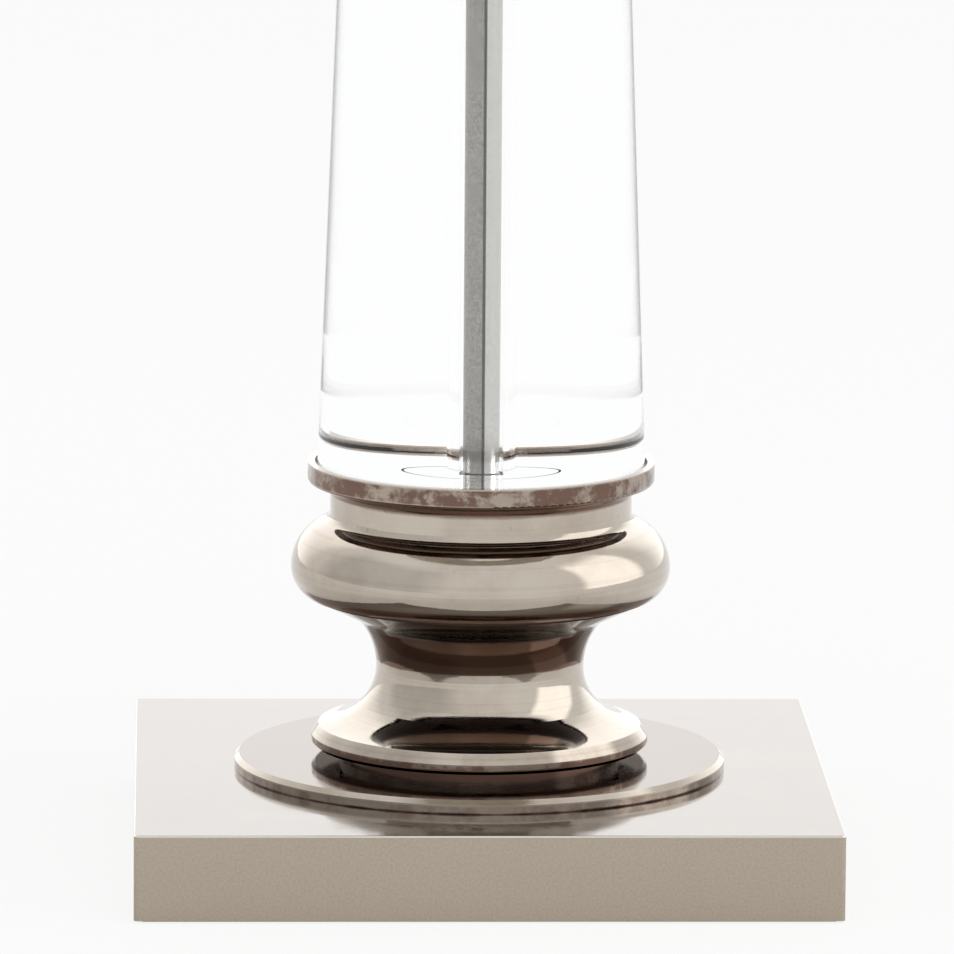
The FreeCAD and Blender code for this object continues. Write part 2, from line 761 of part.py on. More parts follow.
def make_saddle():
    """Bent strip with an upright post at each end, which carries the harp."""
    body = new_body("harp_saddle", "saddle_level")
    outer = "(saddle_half_span + saddle_thickness / 2)"
    inner = "(saddle_half_span - saddle_thickness / 2)"
    bend = "saddle_bend"
    tight = "(saddle_bend - saddle_thickness)"
    strip = draw(new_sketch(body, "XZ_Plane"), [
        (f"-({outer} - {bend})", "0"),
        (f"{outer} - {bend}", "0"),
        (outer, bend, bend, RIGHT),
        (outer, "saddle_rise"),
        (inner, "saddle_rise"),
        (inner, bend),
        (f"{inner} - {tight}", "saddle_thickness", tight, LEFT),
        (f"-({inner} - {tight})", "saddle_thickness"),
        (f"-{inner}", bend, tight, LEFT),
        (f"-{inner}", "saddle_rise"),
        (f"-{outer}", "saddle_rise"),
        (f"-{outer}", bend),
        (f"-({outer} - {bend})", "0", bend, RIGHT),
    ])
    padded(body, strip, "saddle_width", midplane=True)
    posts = new_sketch(body, "XY_Plane", "saddle_rise")
    for side in ("saddle_half_span", "-saddle_half_span"):
        draw_circle(posts, "post_radius", side)
    padded(body, posts, "post_height")
    bore = draw_circle(new_sketch(body, "XY_Plane"), "bore_radius")
    pocketed(body, bore, "saddle_thickness", reversed_way=True)


# Lampholder

def make_socket_cap():
    """Domed cap that screws onto the tube, with a grub screw in its hub."""
    body = new_body("socket_cap", "cap_level")
    dome = "(cap_hub_height + cap_dome_height)"
    turned(body, [
        ("nut_bore_radius", "0"),
        ("cap_hub_radius", "0"),
        ("cap_hub_radius", "cap_hub_height"),
        ("cap_radius", dome, "cap_dome_round", RIGHT),
        ("cap_radius", "cap_height"),
        ("cap_radius - cap_wall", "cap_height"),
        ("cap_radius - cap_wall", dome),
        ("cap_hub_radius", "cap_hub_height + cap_wall", "cap_dome_round - cap_wall", LEFT),
        ("nut_bore_radius", "cap_hub_height + cap_wall"),
    ])
    hole = draw_circle(new_sketch(body, "XZ_Plane", "-cap_hub_radius"), "set_screw_radius", "0",
                       "cap_hub_height / 2")
    pocketed(body, hole, "2 * (cap_hub_radius - nut_bore_radius)", midplane=True)
    grub = new_body("set_screw", "cap_level + cap_hub_height / 2", FreeCAD.Rotation(X_AXIS, -90))
    turned(grub, [
        ("0", "nut_bore_radius"),
        ("set_screw_radius - thread_fit", "nut_bore_radius"),
        ("set_screw_radius - thread_fit", "nut_bore_radius + set_screw_length"),
        ("0", "nut_bore_radius + set_screw_length"),
    ])


def front_hole(body, radius, height, near, far):
    """Cut a hole for the switch shaft through the wall that faces -Y, between two distances from the axis."""
    sketch = draw_circle(new_sketch(body, "XZ_Plane", near), radius, "0", height)
    pocketed(body, sketch, f"({far}) - ({near})", reversed_way=True)


def make_shell():
    """Metal shell with a rolled bead and an inturned lip, and the insulating sleeve that lines it."""
    shell = new_body("socket_shell", "shell_level")
    inner = "shell_radius - shell_wall"
    turned(shell, [
        (inner, "0"),
        ("shell_radius", "0"),
        ("shell_radius", "shell_height - shell_bead_drop"),
        ("shell_radius", "shell_height - shell_bead_drop + shell_bead_width", "shell_bead_round", RIGHT),
        ("shell_radius", "shell_height"),
        ("shell_radius - shell_lip", "shell_height"),
        ("shell_radius - shell_lip", "shell_height - shell_wall"),
        (inner, "shell_height - shell_wall"),
    ])
    front_hole(shell, "shaft_hole_radius", "shaft_height", "shell_radius - 2 * shell_wall",
               "shell_radius + cut_margin")
    sleeve = ring("insulating_sleeve", "shell_level", "sleeve_radius - sleeve_wall", "sleeve_radius",
                  "sleeve_height")
    front_hole(sleeve, "shaft_hole_radius", "shaft_height", "sleeve_radius - 2 * sleeve_wall",
               "sleeve_radius + cut_margin")


def make_insulator():
    """Moulded body with the switch inside, with a contact well, two terminal flats and a shaft bore."""
    body = new_body("socket_insulator", "shell_level")
    well = "screw_shell_radius + screw_shell_wall / 2"
    turned(body, [
        ("0", "0"),
        ("insulator_radius", "0"),
        ("insulator_radius", "insulator_height"),
        (well, "insulator_height"),
        (well, "insulator_height - contact_well_depth"),
        ("0", "insulator_height - contact_well_depth"),
    ])
    flat = "(insulator_radius - insulator_flat)"
    for side in ("", "-"):
        cut = draw(new_sketch(body, "XY_Plane", "terminal_foot"), [
            (f"{side}{flat}", "-terminal_slot_half"),
            (f"{side}(insulator_radius + cut_margin)", "-terminal_slot_half"),
            (f"{side}(insulator_radius + cut_margin)", "terminal_slot_half"),
            (f"{side}{flat}", "terminal_slot_half"),
        ])
        pocketed(body, cut, "2 * terminal_slot_half", reversed_way=True)
    front_hole(body, "shaft_radius + shaft_fit", "shaft_height", "insulator_radius - shaft_depth",
               "insulator_radius + cut_margin")
    screws = []
    for name, sign, angle in (("terminal_right", "", 90), ("terminal_left", "-", -90)):
        screw = DOC.addObject("Part::Cylinder", name)
        screw.Placement.Rotation = FreeCAD.Rotation(Y_AXIS, angle)
        screw.setExpression("Radius", bound("terminal_radius"))
        screw.setExpression("Height", bound("terminal_head"))
        screw.setExpression("Placement.Base.x", bound(f"{sign}{flat}"))
        screw.setExpression("Placement.Base.z", bound("shell_level + terminal_foot + terminal_slot_half"))
        screws.append(screw)
    group = DOC.addObject("Part::Compound", "terminal_screws")
    group.Label = "terminal_screws"
    group.Links = screws
    PARTS.append(group)


def make_contacts():
    """Smooth-bored screw shell that takes the bulb's cap, and the centre contact in the well under it."""
    ring("screw_shell", "screw_shell_level", "screw_shell_radius", "screw_shell_radius + screw_shell_wall",
         "screw_shell_height")
    contact = new_body("centre_contact", "screw_shell_level - contact_well_depth")
    turned(contact, [
        ("0", "0"),
        ("contact_radius", "0"),
        ("contact_radius", "contact_height / 2"),
        ("contact_radius / 2", "contact_height"),
        ("0", "contact_height"),
    ])


def make_switch():
    """Round shaft that turns in the insulator, and the fluted knob on its outer end."""
    turn = FreeCAD.Rotation(X_AXIS, 90)
    shaft = new_body("switch_shaft", "shaft_level", turn)
    grip = "knob_foot + knob_length / 2"
    turned(shaft, [
        ("0", "insulator_radius - shaft_depth + shaft_fit"),
        ("shaft_radius", "insulator_radius - shaft_depth + shaft_fit"),
        ("shaft_radius", grip),
        ("0", grip),
    ])
    knob = new_body("switch_knob", "shaft_level", turn)
    end = "knob_foot + knob_length"
    crown_round = "(knob_radius * knob_radius + knob_crown * knob_crown) / (2 * knob_crown)"
    turned(knob, [
        ("shaft_radius + thread_fit", "knob_foot"),
        ("knob_radius - knob_bevel", "knob_foot"),
        ("knob_radius", "knob_foot + knob_bevel"),
        ("knob_radius", f"{end} - knob_crown"),
        ("0", end, crown_round, RIGHT),
        ("0", grip),
        ("shaft_radius + thread_fit", grip),
    ])
    flute = draw_circle(new_sketch(knob, "XY_Plane", "knob_foot"), "knob_flute",
                        "knob_radius + knob_flute_offset")
    cut = pocketed(knob, flute, "knob_length", reversed_way=True)
    repeated(knob, cut, "knob_flutes")


# Harp

def make_harp():
    """Wire bow of tangent arcs that stands on the saddle's posts, with a hub at its crown."""
    body = new_body("harp", "harp_level")
    right = [
        ("saddle_half_span", "0"),
        ("saddle_half_span", "harp_straight"),
        ("harp_foot_x", "harp_foot_z", "harp_foot_bend", LEFT),
        ("harp_shoulder_x", "harp_shoulder_z", "harp_bow", RIGHT),
        ("harp_crown_half", "harp_rise", "harp_shoulder_bend", RIGHT),
    ]
    left = [
        ("-harp_crown_half", "harp_rise"),
        ("-harp_shoulder_x", "harp_shoulder_z", "harp_shoulder_bend", RIGHT),
        ("-harp_foot_x", "harp_foot_z", "harp_bow", RIGHT),
        ("-saddle_half_span", "harp_straight", "harp_foot_bend", LEFT),
        ("-saddle_half_span", "0"),
    ]
    path = draw(new_sketch(body, "XZ_Plane"), right + left, closed=False)
    section = draw_circle(new_sketch(body, "XY_Plane"), "post_radius", "saddle_half_span")
    wire = body.newObject("PartDesign::AdditivePipe", "harp_wire")
    wire.Profile = section
    wire.Spine = path
    DOC.recompute()
    turned(body, [
        ("0", "harp_rise - post_radius - stud_base_drop"),
        ("stud_base_radius", "harp_rise - post_radius - stud_base_drop"),
        ("stud_base_radius", "harp_rise - post_radius + stud_base_height"),
        ("0", "harp_rise - post_radius + stud_base_height"),
    ])
    stud = new_body("harp_stud", "fitter_level")
    turned(stud, [
        ("0", "0"),
        ("stud_radius", "0"),
        ("stud_radius", "stud_height - stud_bevel"),
        ("stud_radius - stud_bevel", "stud_height"),
        ("0", "stud_height"),
    ])


def make_ferrules():
    """Sleeves that slide down over the joints between harp and posts."""
    inner = "post_radius + ferrule_fit"
    outer = "post_radius + ferrule_fit + ferrule_wall"
    for label, sign in (("ferrule_right", ""), ("ferrule_left", "-")):
        body = new_body(label, "post_level")
        body.setExpression("Placement.Base.x", bound(f"{sign}saddle_half_span"))
        turned(body, [
            (inner, "0"),
            (f"{outer} - ferrule_wall / 2", "0"),
            (outer, "ferrule_wall / 2"),
            (outer, "ferrule_length - ferrule_wall / 2"),
            (f"{outer} - ferrule_wall / 2", "ferrule_length"),
            (inner, "ferrule_length"),
        ])


# Shade and finial

def make_fitter():
    """Washer, three straight arms and the top ring, welded into one spider."""
    body = new_body("shade_fitter", "fitter_level")
    ring_height = "(fitter_drop - ring_wire_radius)"
    arm_start = "(fitter_hub_radius - ring_wire_radius)"
    path = draw(new_sketch(body, "XZ_Plane"), [
        (arm_start, "fitter_hub_thickness / 2"),
        ("top_ring_radius", ring_height),
    ], closed=False)
    section = draw(new_sketch(body, "YZ_Plane", arm_start), wire_section("0", "fitter_hub_thickness / 2"))
    turned(body, [
        ("stud_radius + fitter_hub_clearance", "0"),
        ("fitter_hub_radius", "0"),
        ("fitter_hub_radius", "fitter_hub_thickness"),
        ("stud_radius + fitter_hub_clearance", "fitter_hub_thickness"),
    ])
    arm = body.newObject("PartDesign::AdditivePipe", "fitter_arm")
    arm.Profile = section
    arm.Spine = path
    DOC.recompute()
    repeated(body, arm, "fitter_arms")
    wire_ring(body, "top_ring_radius", ring_height)


def wire_section(x, y):
    """The corners of the shade wire's octagonal section about a point."""
    corners = []
    for side in range(WIRE_SIDES):
        turn = (side + 0.5) * 360 / WIRE_SIDES
        corners.append((f"{x} + ring_wire_radius * cos({turn})", f"{y} + ring_wire_radius * sin({turn})"))
    return corners


def wire_ring(body, radius, height):
    """A ring of wire about the body's axis, its section an octagon with a flat below and above."""
    sketch = draw(new_sketch(body, "XZ_Plane"), wire_section(radius, height))
    feature = body.newObject("PartDesign::Revolution", body.Label + "_ring")
    feature.Profile = sketch
    feature.ReferenceAxis = (sketch, ["V_Axis"])
    feature.Angle = 360
    DOC.recompute()
    return feature


def make_shade():
    """Tapered fabric shade on its bottom ring, bound with a tape round each edge."""
    cloth = new_body("shade_cloth", "shade_level")
    turned(cloth, [
        ("shade_bottom_radius - shade_thickness", "0"),
        ("shade_bottom_radius", "0"),
        ("shade_top_radius", "shade_height"),
        ("shade_top_radius - shade_thickness", "shade_height"),
    ])
    wire_ring(new_body("shade_bottom_ring", "shade_level"), "bottom_ring_radius", "ring_wire_radius")
    tapes = (
        ("shade_bottom_trim", "shade_level", "shade_bottom_radius"),
        ("shade_top_trim", "shade_level + shade_height - trim_width",
         "shade_top_radius + shade_slope * trim_width"),
    )
    for label, level, radius in tapes:
        tape = new_body(label, level)
        turned(tape, [
            (radius, "0"),
            (f"{radius} + trim_thickness", "0"),
            (f"{radius} + trim_thickness - shade_slope * trim_width", "trim_width"),
            (f"{radius} - shade_slope * trim_width", "trim_width"),
        ])


def make_finial():
    """Turned finial that screws onto the stud and holds the shade down."""
    body = new_body("finial", "finial_level")
    bore = "stud_radius + finial_fit"
    neck = "finial_neck_radius"
    ball = "finial_ball_radius"
    top = f"finial_neck_height + {ball} + sqrt({ball} * {ball} - {neck} * {neck})"
    turned(body, [
        (bore, "0"),
        ("finial_base_radius", "0"),
        ("finial_base_radius", "finial_base_height"),
        (neck, "finial_neck_height", "finial_cove_round", LEFT),
        ("0", top, ball, RIGHT),
        ("0", "finial_bore_depth"),
        (bore, "finial_bore_depth"),
    ])


FORMS = (
    make_plinth,
    make_base_board,
    make_felt_pad,
    make_ballast_plate,
    make_cord_bushing,
    make_base_fastenings,
    make_centre_tube,
    make_foot,
    make_pedestal,
    make_cup,
    make_glass,
    make_upper_cup,
    make_capital,
    make_collar,
    make_check_ring,
    make_saddle,
    make_socket_cap,
    make_shell,
    make_insulator,
    make_contacts,
    make_switch,
    make_harp,
    make_ferrules,
    make_fitter,
    make_shade,
    make_finial,
)


def check():
    """Stop before anything is written if an object has failed or a piece is empty or not valid."""
    for item in DOC.Objects:
        if "Invalid" in item.State or "Error" in item.State:
            raise ValueError(f"{item.Label} did not build: {item.State}")
    for piece in PARTS:
        if piece.Shape.isNull() or not piece.Shape.isValid() or not piece.Shape.Solids:
            raise ValueError(f"{piece.Label} has no valid solid")


fill_sheet()
for form in FORMS:
    form()
DOC.recompute()
check()
os.makedirs("parts", exist_ok=True)
for piece in PARTS:
    piece.Shape.exportStep(f"parts/{piece.Label}.step")
    box = piece.Shape.BoundBox
    print(f"{piece.Label}: {piece.Shape.Volume:.0f} mm3, z {box.ZMin:.1f} to {box.ZMax:.1f}")
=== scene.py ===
"""Looks of a candlestick table lamp: aged nickel, solid glass, a steel tube and a linen shade."""

import logging
import math
from abc import ABC, abstractmethod
from collections.abc import Callable, Mapping, Sequence
from dataclasses import dataclass, replace
from enum import Enum
from typing import NamedTuple

import bmesh
import bpy
from mathutils import Matrix, Vector


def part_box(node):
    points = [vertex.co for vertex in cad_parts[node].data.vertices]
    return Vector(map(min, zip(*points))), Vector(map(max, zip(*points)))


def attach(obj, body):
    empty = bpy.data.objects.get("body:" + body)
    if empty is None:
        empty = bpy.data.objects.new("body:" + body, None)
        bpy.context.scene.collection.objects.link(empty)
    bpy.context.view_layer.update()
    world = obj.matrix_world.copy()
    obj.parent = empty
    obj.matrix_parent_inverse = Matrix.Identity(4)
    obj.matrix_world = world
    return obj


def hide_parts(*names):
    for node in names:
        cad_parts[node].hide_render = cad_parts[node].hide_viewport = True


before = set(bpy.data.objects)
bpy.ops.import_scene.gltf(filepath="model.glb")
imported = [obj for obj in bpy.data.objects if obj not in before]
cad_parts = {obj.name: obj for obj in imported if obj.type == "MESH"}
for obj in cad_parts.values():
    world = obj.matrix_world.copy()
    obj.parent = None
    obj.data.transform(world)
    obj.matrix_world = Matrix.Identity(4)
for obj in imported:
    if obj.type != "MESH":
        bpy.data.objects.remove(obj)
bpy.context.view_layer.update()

LOG = logging.getLogger("lamp")
MM = 0.001
FULL_TURN = 2 * math.pi
ORIGIN = (0.0, 0.0, 0.0)
UP = (0.0, 0.0, 1.0)
WHITE = (1.0, 1.0, 1.0)
WELD = 1e-7
BIAS_SINE = 0.7071

Colour = tuple[float, float, float]
Span = tuple[float, float]


# Shader maths


class Wire:
    """A socket that takes part in arithmetic; each operator adds one Math node to its graph."""

    def __init__(self, graph: "Graph", socket: bpy.types.NodeSocket) -> None:
        """Hold a socket.

        Args:
            graph: The node tree's helper.
            socket: The output socket that is wrapped.
        """
        self.graph = graph
        self.socket = socket

    def __add__(self, other: "Wire | float") -> "Wire":
        """This plus another."""
        return self.graph.math("ADD", self, other)

    def __radd__(self, other: float) -> "Wire":
        """A number plus this."""
        return self.graph.math("ADD", other, self)

    def __sub__(self, other: "Wire | float") -> "Wire":
        """This minus another."""
        return self.graph.math("SUBTRACT", self, other)

    def __rsub__(self, other: float) -> "Wire":
        """A number minus this."""
        return self.graph.math("SUBTRACT", other, self)

    def __mul__(self, other: "Wire | float") -> "Wire":
        """This times another."""
        return self.graph.math("MULTIPLY", self, other)

    def __rmul__(self, other: float) -> "Wire":
        """A number times this."""
        return self.graph.math("MULTIPLY", other, self)

    def __truediv__(self, other: "Wire | float") -> "Wire":
        """This over another."""
        return self.graph.math("DIVIDE", self, other)

    def clipped(self) -> "Wire":
        """This held between 0 and 1."""
        return self.graph.wire("ShaderNodeClamp", None, {"Value": self})

    def ramp(self, low: float, high: float) -> "Wire":
        """This as a smooth step.

        Args:
            low: The value that gives 0.
            high: The value that gives 1.

        Returns:
            The step, from 0 to 1.
        """
        return self.graph.wire(
            "ShaderNodeMapRange",
            {"interpolation_type": "SMOOTHSTEP"},
            {"Value": self, "From Min": low, "From Max": high},
        )


Feed = Wire | float | Sequence[float]


class Graph:
    """A node tree that is written as expressions."""

    def __init__(self, tree: bpy.types.NodeTree) -> None:
        """Empty a node tree.

        Args:
            tree: The tree of a material or of the world.
        """
        self.tree = tree
        tree.nodes.clear()

    def node(
        self,
        kind: str,
        settings: Mapping[str, object] | None = None,
        inputs: Mapping[str | int, Feed] | None = None,
    ) -> bpy.types.Node:
        """Add a node.

        Args:
            kind: The node's type.
            settings: Its settings, set first; "stops" are the positions and colours of a ramp.
            inputs: Values or wires for its sockets, by name or number.

        Returns:
            The node.
        """
        made = self.tree.nodes.new(kind)
        for name, setting in (settings or {}).items():
            if name == "stops":
                self._set_stops(made.color_ramp, setting)
            else:
                setattr(made, name, setting)
        for key, feed in (inputs or {}).items():
            if isinstance(feed, Wire):
                self.tree.links.new(feed.socket, made.inputs[key])
            else:
                made.inputs[key].default_value = feed
        return made

    def wire(
        self,
        kind: str,
        settings: Mapping[str, object] | None = None,
        inputs: Mapping[str | int, Feed] | None = None,
        output: str | int = 0,
    ) -> Wire:
        """Add a node and take one of its outputs.

        Args:
            kind: The node's type.
            settings: Its settings.
            inputs: Values or wires for its sockets.
            output: The output's name or number.

        Returns:
            The output.
        """
        return Wire(self, self.node(kind, settings, inputs).outputs[output])

    @staticmethod
    def _set_stops(ramp: bpy.types.ColorRamp, stops: Sequence[tuple[float, Colour]]) -> None:
        """Give a colour ramp its stops.

        Args:
            ramp: The ramp.
            stops: Pairs of position and colour, in order.
        """
        while len(ramp.elements) < len(stops):
            ramp.elements.new(1.0)
        for element, (position, colour) in zip(ramp.elements, stops):
            element.position = position
            element.color = (*colour, 1.0)

    def math(self, operation: str, one: Feed, two: Feed = 0.0) -> Wire:
        """One Math node.

        Args:
            operation: The sum that it does.
            one: The first term.
            two: The second term.

        Returns:
            Its result.
        """
        return self.wire("ShaderNodeMath", {"operation": operation}, {0: one, 1: two})

    def blend(self, share: Feed, one: Feed, two: Feed) -> Wire:
        """Mix two colours.

        Args:
            share: How much of the second, from 0 to 1.
            one: The first colour.
            two: The second colour.

        Returns:
            The mixed colour.
        """
        feeds = {0: share, 6: rgba(one), 7: rgba(two)}
        return self.wire("ShaderNodeMix", {"data_type": "RGBA"}, feeds, 2)

    def position(self) -> Wire:
        """Place in the lamp's own frame, in metres."""
        return self.wire("ShaderNodeTexCoord", None, None, "Object")

    def parts(self, vector: Wire) -> tuple[Wire, Wire, Wire]:
        """Split a vector.

        Args:
            vector: The vector.

        Returns:
            Its x, y and z.
        """
        node = self.node("ShaderNodeSeparateXYZ", None, {0: vector})
        return tuple(Wire(self, socket) for socket in node.outputs)

    def vector(self, x: Feed, y: Feed, z: Feed) -> Wire:
        """Join three numbers into a vector."""
        return self.wire("ShaderNodeCombineXYZ", None, {0: x, 1: y, 2: z})

    def noise(self, where: Wire, scale: float, detail: float = 2.0, rough: float = 0.5) -> Wire:
        """Cloudy noise.

        Args:
            where: The coordinates.
            scale: Cycles a metre.
            detail: Octaves.
            rough: How strong the finer octaves are.

        Returns:
            The noise, about 0.5.
        """
        feeds = {"Vector": where, "Scale": scale, "Detail": detail, "Roughness": rough}
        return self.wire("ShaderNodeTexNoise", None, feeds, "Fac")

    def bump(self, height: Wire, depth: float, strength: float = 1.0) -> Wire:
        """A normal from a height.

        Args:
            height: The relief, from 0 to 1.
            depth: Its depth in metres.
            strength: Its share.

        Returns:
            The normal.
        """
        feeds = {"Strength": strength, "Distance": depth, "Height": height}
        return self.wire("ShaderNodeBump", None, feeds)


def rgba(colour: Feed) -> Feed:
    """A colour of three numbers as four; a wire is passed on."""
    return colour if isinstance(colour, Wire) else (*colour, 1.0)


def new_material(name: str, draw: Callable[[Graph], Wire]) -> bpy.types.Material:
    """Make a material.

    Args:
        name: The material's name.
        draw: Adds the nodes to a graph and returns the surface shader.

    Returns:
        The material.
    """
    material = bpy.data.materials.new(name)
    material.use_nodes = True
    graph = Graph(material.node_tree)
    graph.node("ShaderNodeOutputMaterial", None, {"Surface": draw(graph)})
    return material


def ray_kinds(graph: Graph) -> tuple[Wire, Wire]:
    """Tell the rays that are being shaded apart.

    Args:
        graph: The graph of a material or of the world.

    Returns:
        1 for a ray from the camera or through the glass, and 1 for a mirrored ray; otherwise 0.
    """
    ray = graph.node("ShaderNodeLightPath")
    kinds = ("Is Camera Ray", "Is Transmission Ray", "Is Glossy Ray")
    camera, through, glossy = (Wire(graph, ray.outputs[kind]) for kind in kinds)
    return (camera + through).clipped(), glossy


# Finishes


@dataclass(frozen=True)
class Finish(ABC):
    """A finish that is drawn with one Principled shader."""

    name: str

    def material(self) -> bpy.types.Material:
        """The finish as a material."""
        return new_material(self.name, self._shader)

    def _shader(self, graph: Graph) -> Wire:
        """The Principled shader.

        Args:
            graph: The material's graph.

        Returns:
            The shader, with its inputs drawn by the finish.
        """
        feeds = self._draw(graph)
        inputs = {key: rgba(feed) if key.endswith("Color") else feed for key, feed in feeds.items()}
        return graph.wire("ShaderNodeBsdfPrincipled", None, inputs)

    @abstractmethod
    def _draw(self, graph: Graph) -> dict[str, Feed]:
        """Add the finish's nodes.

        Args:
            graph: The material's graph.

        Returns:
            The shader's inputs.
        """


class Band(NamedTuple):
    """A darkened ring round a turned piece, used for painted shade and for wear: its lower and upper
    height, and how dark it is.
    """

    low: float
    high: float
    share: float


def bands_above(level: float, *rows: tuple[float, float, float]) -> tuple[Band, ...]:
    """Bands whose heights are given in millimetres above a level.

    Args:
        level: The level, in metres.
        rows: Each band's lower and upper height above the level, and its share.

    Returns:
        The bands.
    """
    return tuple(Band(level + low * MM, level + high * MM, share) for low, high, share in rows)


@dataclass(frozen=True)
class AgedNickel(Finish):
    """Polished nickel plate on turned metal, darkened underneath and in its recesses by painted shade.

    Attributes:
        tint: The clean plate.
        yellowed: Its duller clouds and lathe streaks.
        pit_tarnish_and_shade: The brown of painted shade underneath and in the bands, and of the pits'
            own stain.
        crevice_shade_black: The black of the deepest painted shade.
        smear: Roughness that smears add.
        worn_smear: Roughness that one of the wear_and_shade_rings adds.
        wear_and_shade_rings: Darker rings with a broken, stained film: partly wear, partly painted shade.
        edge: Half of a ring's soft edge, in metres.
        stray: How far a ring's edge strays, in metres.
        under: The normal's z at full painted underside shade and at none.
        flat_top: The tint of level faces, if they have their own; a darker one there is painted shade.
    """

    tint: Colour = (0.535, 0.48, 0.415)
    yellowed: Colour = (0.385, 0.325, 0.265)
    pit_tarnish_and_shade: Colour = (0.17, 0.108, 0.083)
    crevice_shade_black: Colour = (0.02, 0.014, 0.012)
    polish: float = 0.05
    smear: float = 0.07
    worn_smear: float = 0.14
    pitting: float = 0.30
    bands: tuple[Band, ...] = ()
    wear_and_shade_rings: tuple[Band, ...] = ()
    edge: float = 0.0003
    stray: float = 0.0012
    under: Span = (-0.42, -0.16)
    flat_top: Colour | None = None
    relief: float = 0.000008

    def _inside(self, height: Wire, bands: Sequence[Band]) -> Feed:
        """How far a point lies inside any of the bands.

        Args:
            height: The point's height.
            bands: The bands.

        Returns:
            The share, from 0 to 1.
        """
        total: Feed = 0.0
        for band in bands:
            above = height.ramp(band.low - self.edge, band.low + self.edge)
            below = 1.0 - height.ramp(band.high - self.edge, band.high + self.edge)
            total = total + above * below * band.share
        return total

    def _draw(self, graph: Graph) -> dict[str, Feed]:
        """Colour, polish and relief of the plate."""
        place = graph.position()
        x, y, z = graph.parts(place)
        facing = graph.parts(graph.wire("ShaderNodeNewGeometry", None, None, "Normal"))[2]
        radius = graph.math("SQRT", x * x + y * y)
        turning = graph.noise(graph.vector(radius, 0.0, z), 2600.0, 1.0)
        clouds = graph.noise(place, 38.0, 5.0, 0.6)
        smears = graph.noise(graph.vector(x, y, z * 3.0), 90.0, 4.0, 0.62)
        wander = graph.noise(place, 75.0, 3.0, 0.6) - 0.5
        pits = graph.noise(place, 420.0, 4.0, 0.7).ramp(0.62, 0.72)
        stain = graph.noise(place, 130.0, 5.0, 0.72).ramp(0.40, 0.60)
        # Painted shade: faces that point downwards are darkened towards brown.
        underside_shade = 1.0 - (facing + 0.10 * wander).ramp(*self.under)
        # Painted shade in the bands, which lie in crevices and recesses.
        band_shade = self._inside(z + self.stray * wander, self.bands)
        # Darker, rougher rings with blotchy edges: partly wear, partly painted shade.
        wear_and_shade_rings = self._inside(z, self.wear_and_shade_rings) * (0.35 + 0.65 * stain)
        dark = (underside_shade + band_shade + wear_and_shade_rings + self.pitting * pits * stain).clipped()
        streaks = graph.noise(graph.vector(radius, 0.0, z), 900.0, 2.0).ramp(0.45, 0.75)
        plate = graph.blend(clouds.ramp(0.35, 0.72) * 0.7 + streaks * 0.3, self.tint, self.yellowed)
        # Painted shade: level faces can take a darker tint of their own.
        if self.flat_top is not None:
            plate = graph.blend(facing.ramp(0.90, 0.97), plate, self.flat_top)
        browned = graph.blend(dark, plate, self.pit_tarnish_and_shade)
        # Painted shade: the deepest bands, with the undersides in them, go black.
        black_shade_share = (band_shade + underside_shade * 0.5 - 1.0).clipped()
        grain = graph.noise(place, 2400.0, 2.0)
        return {
            "Base Color": graph.blend(black_shade_share, browned, self.crevice_shade_black),
            "Metallic": 1.0,
            "Roughness": self.polish + self.smear * smears.ramp(0.42, 0.75) + self.worn_smear * wear_and_shade_rings,
            "Normal": graph.bump(turning * 0.6 + grain * 0.4 - pits * 0.5, self.relief),
        }


@dataclass(frozen=True)
class PlinthNickel(Finish):
    """Nickel plate: mirror polished on top, satin on the four sides and glossier at the edge; the top's
    darker tint is painted shade and the edge's lighter tint a painted highlight.
    """

    # Painted shade: the top is tinted darker than the sides.
    top: Colour = (0.23, 0.205, 0.185)
    side: Colour = (0.52, 0.455, 0.37)
    side_dull: float = 0.86
    # Painted highlight: the rounded top edge is tinted lighter than the sides.
    edge: Colour = (0.80, 0.77, 0.72)
    cloud: Colour = (0.42, 0.36, 0.30)
    top_polish: float = 0.06
    side_satin: float = 0.34
    relief: float = 0.00004

    def _draw(self, graph: Graph) -> dict[str, Feed]:
        """Colour, polish and relief of the plate."""
        place = graph.position()
        normal = graph.wire("ShaderNodeNewGeometry", None, None, "Normal")
        facing = graph.parts(normal)[2]
        upward = facing.ramp(0.86, 0.97)
        # Painted highlight on the rounded edge between the top and the sides, which is also glossier.
        painted_highlight = facing.ramp(0.15, 0.40) * (1.0 - upward)
        grain = graph.noise(place, 1500.0, 3.0, 0.7)
        clouds = graph.noise(place, 26.0, 4.0, 0.6)
        smears = graph.noise(place, 60.0, 4.0, 0.65)
        groove = [share * self.side_dull for share in self.side]
        side = graph.blend(grain.ramp(0.3, 0.7), groove, self.side)
        colour = graph.blend(upward, graph.blend(painted_highlight, side, self.edge), self.top)
        satin = self.side_satin + 0.10 * grain
        mirror = self.top_polish + 0.06 * smears.ramp(0.4, 0.75)
        return {
            "Base Color": graph.blend(clouds.ramp(0.45, 0.8) * 0.12, colour, self.cloud),
            "Metallic": 1.0,
            "Roughness": satin + (upward + 0.6 * painted_highlight) * (mirror - satin),
            "Normal": graph.bump(grain * (1.0 - upward) + grain * upward * 0.06, self.relief),
        }


@dataclass(frozen=True)
class ClearGlass(Finish):
    """Solid polished crystal, clear right through."""

    refraction: float = 1.52
    tint: Colour = (0.985, 0.992, 0.99)
    ripple_depth: float = 0.00003

    def _draw(self, graph: Graph) -> dict[str, Feed]:
        """The glass, with a trace of ripple left by the polishing."""
        x, y, z = graph.parts(graph.position())
        ripple = graph.noise(graph.vector(x, y, z * 0.15), 45.0, 1.0)
        return {
            "Base Color": self.tint,
            "Roughness": 0.0,
            "IOR": self.refraction,
            "Transmission Weight": 1.0,
            "Normal": graph.bump(ripple, self.ripple_depth),
        }


class Grain(Enum):
    """Which way a drawn or turned metal's grain runs, as the stretch of its noise."""

    ROUND = (0.05, 0.05, 1.0)
    EVEN = (1.0, 1.0, 1.0)


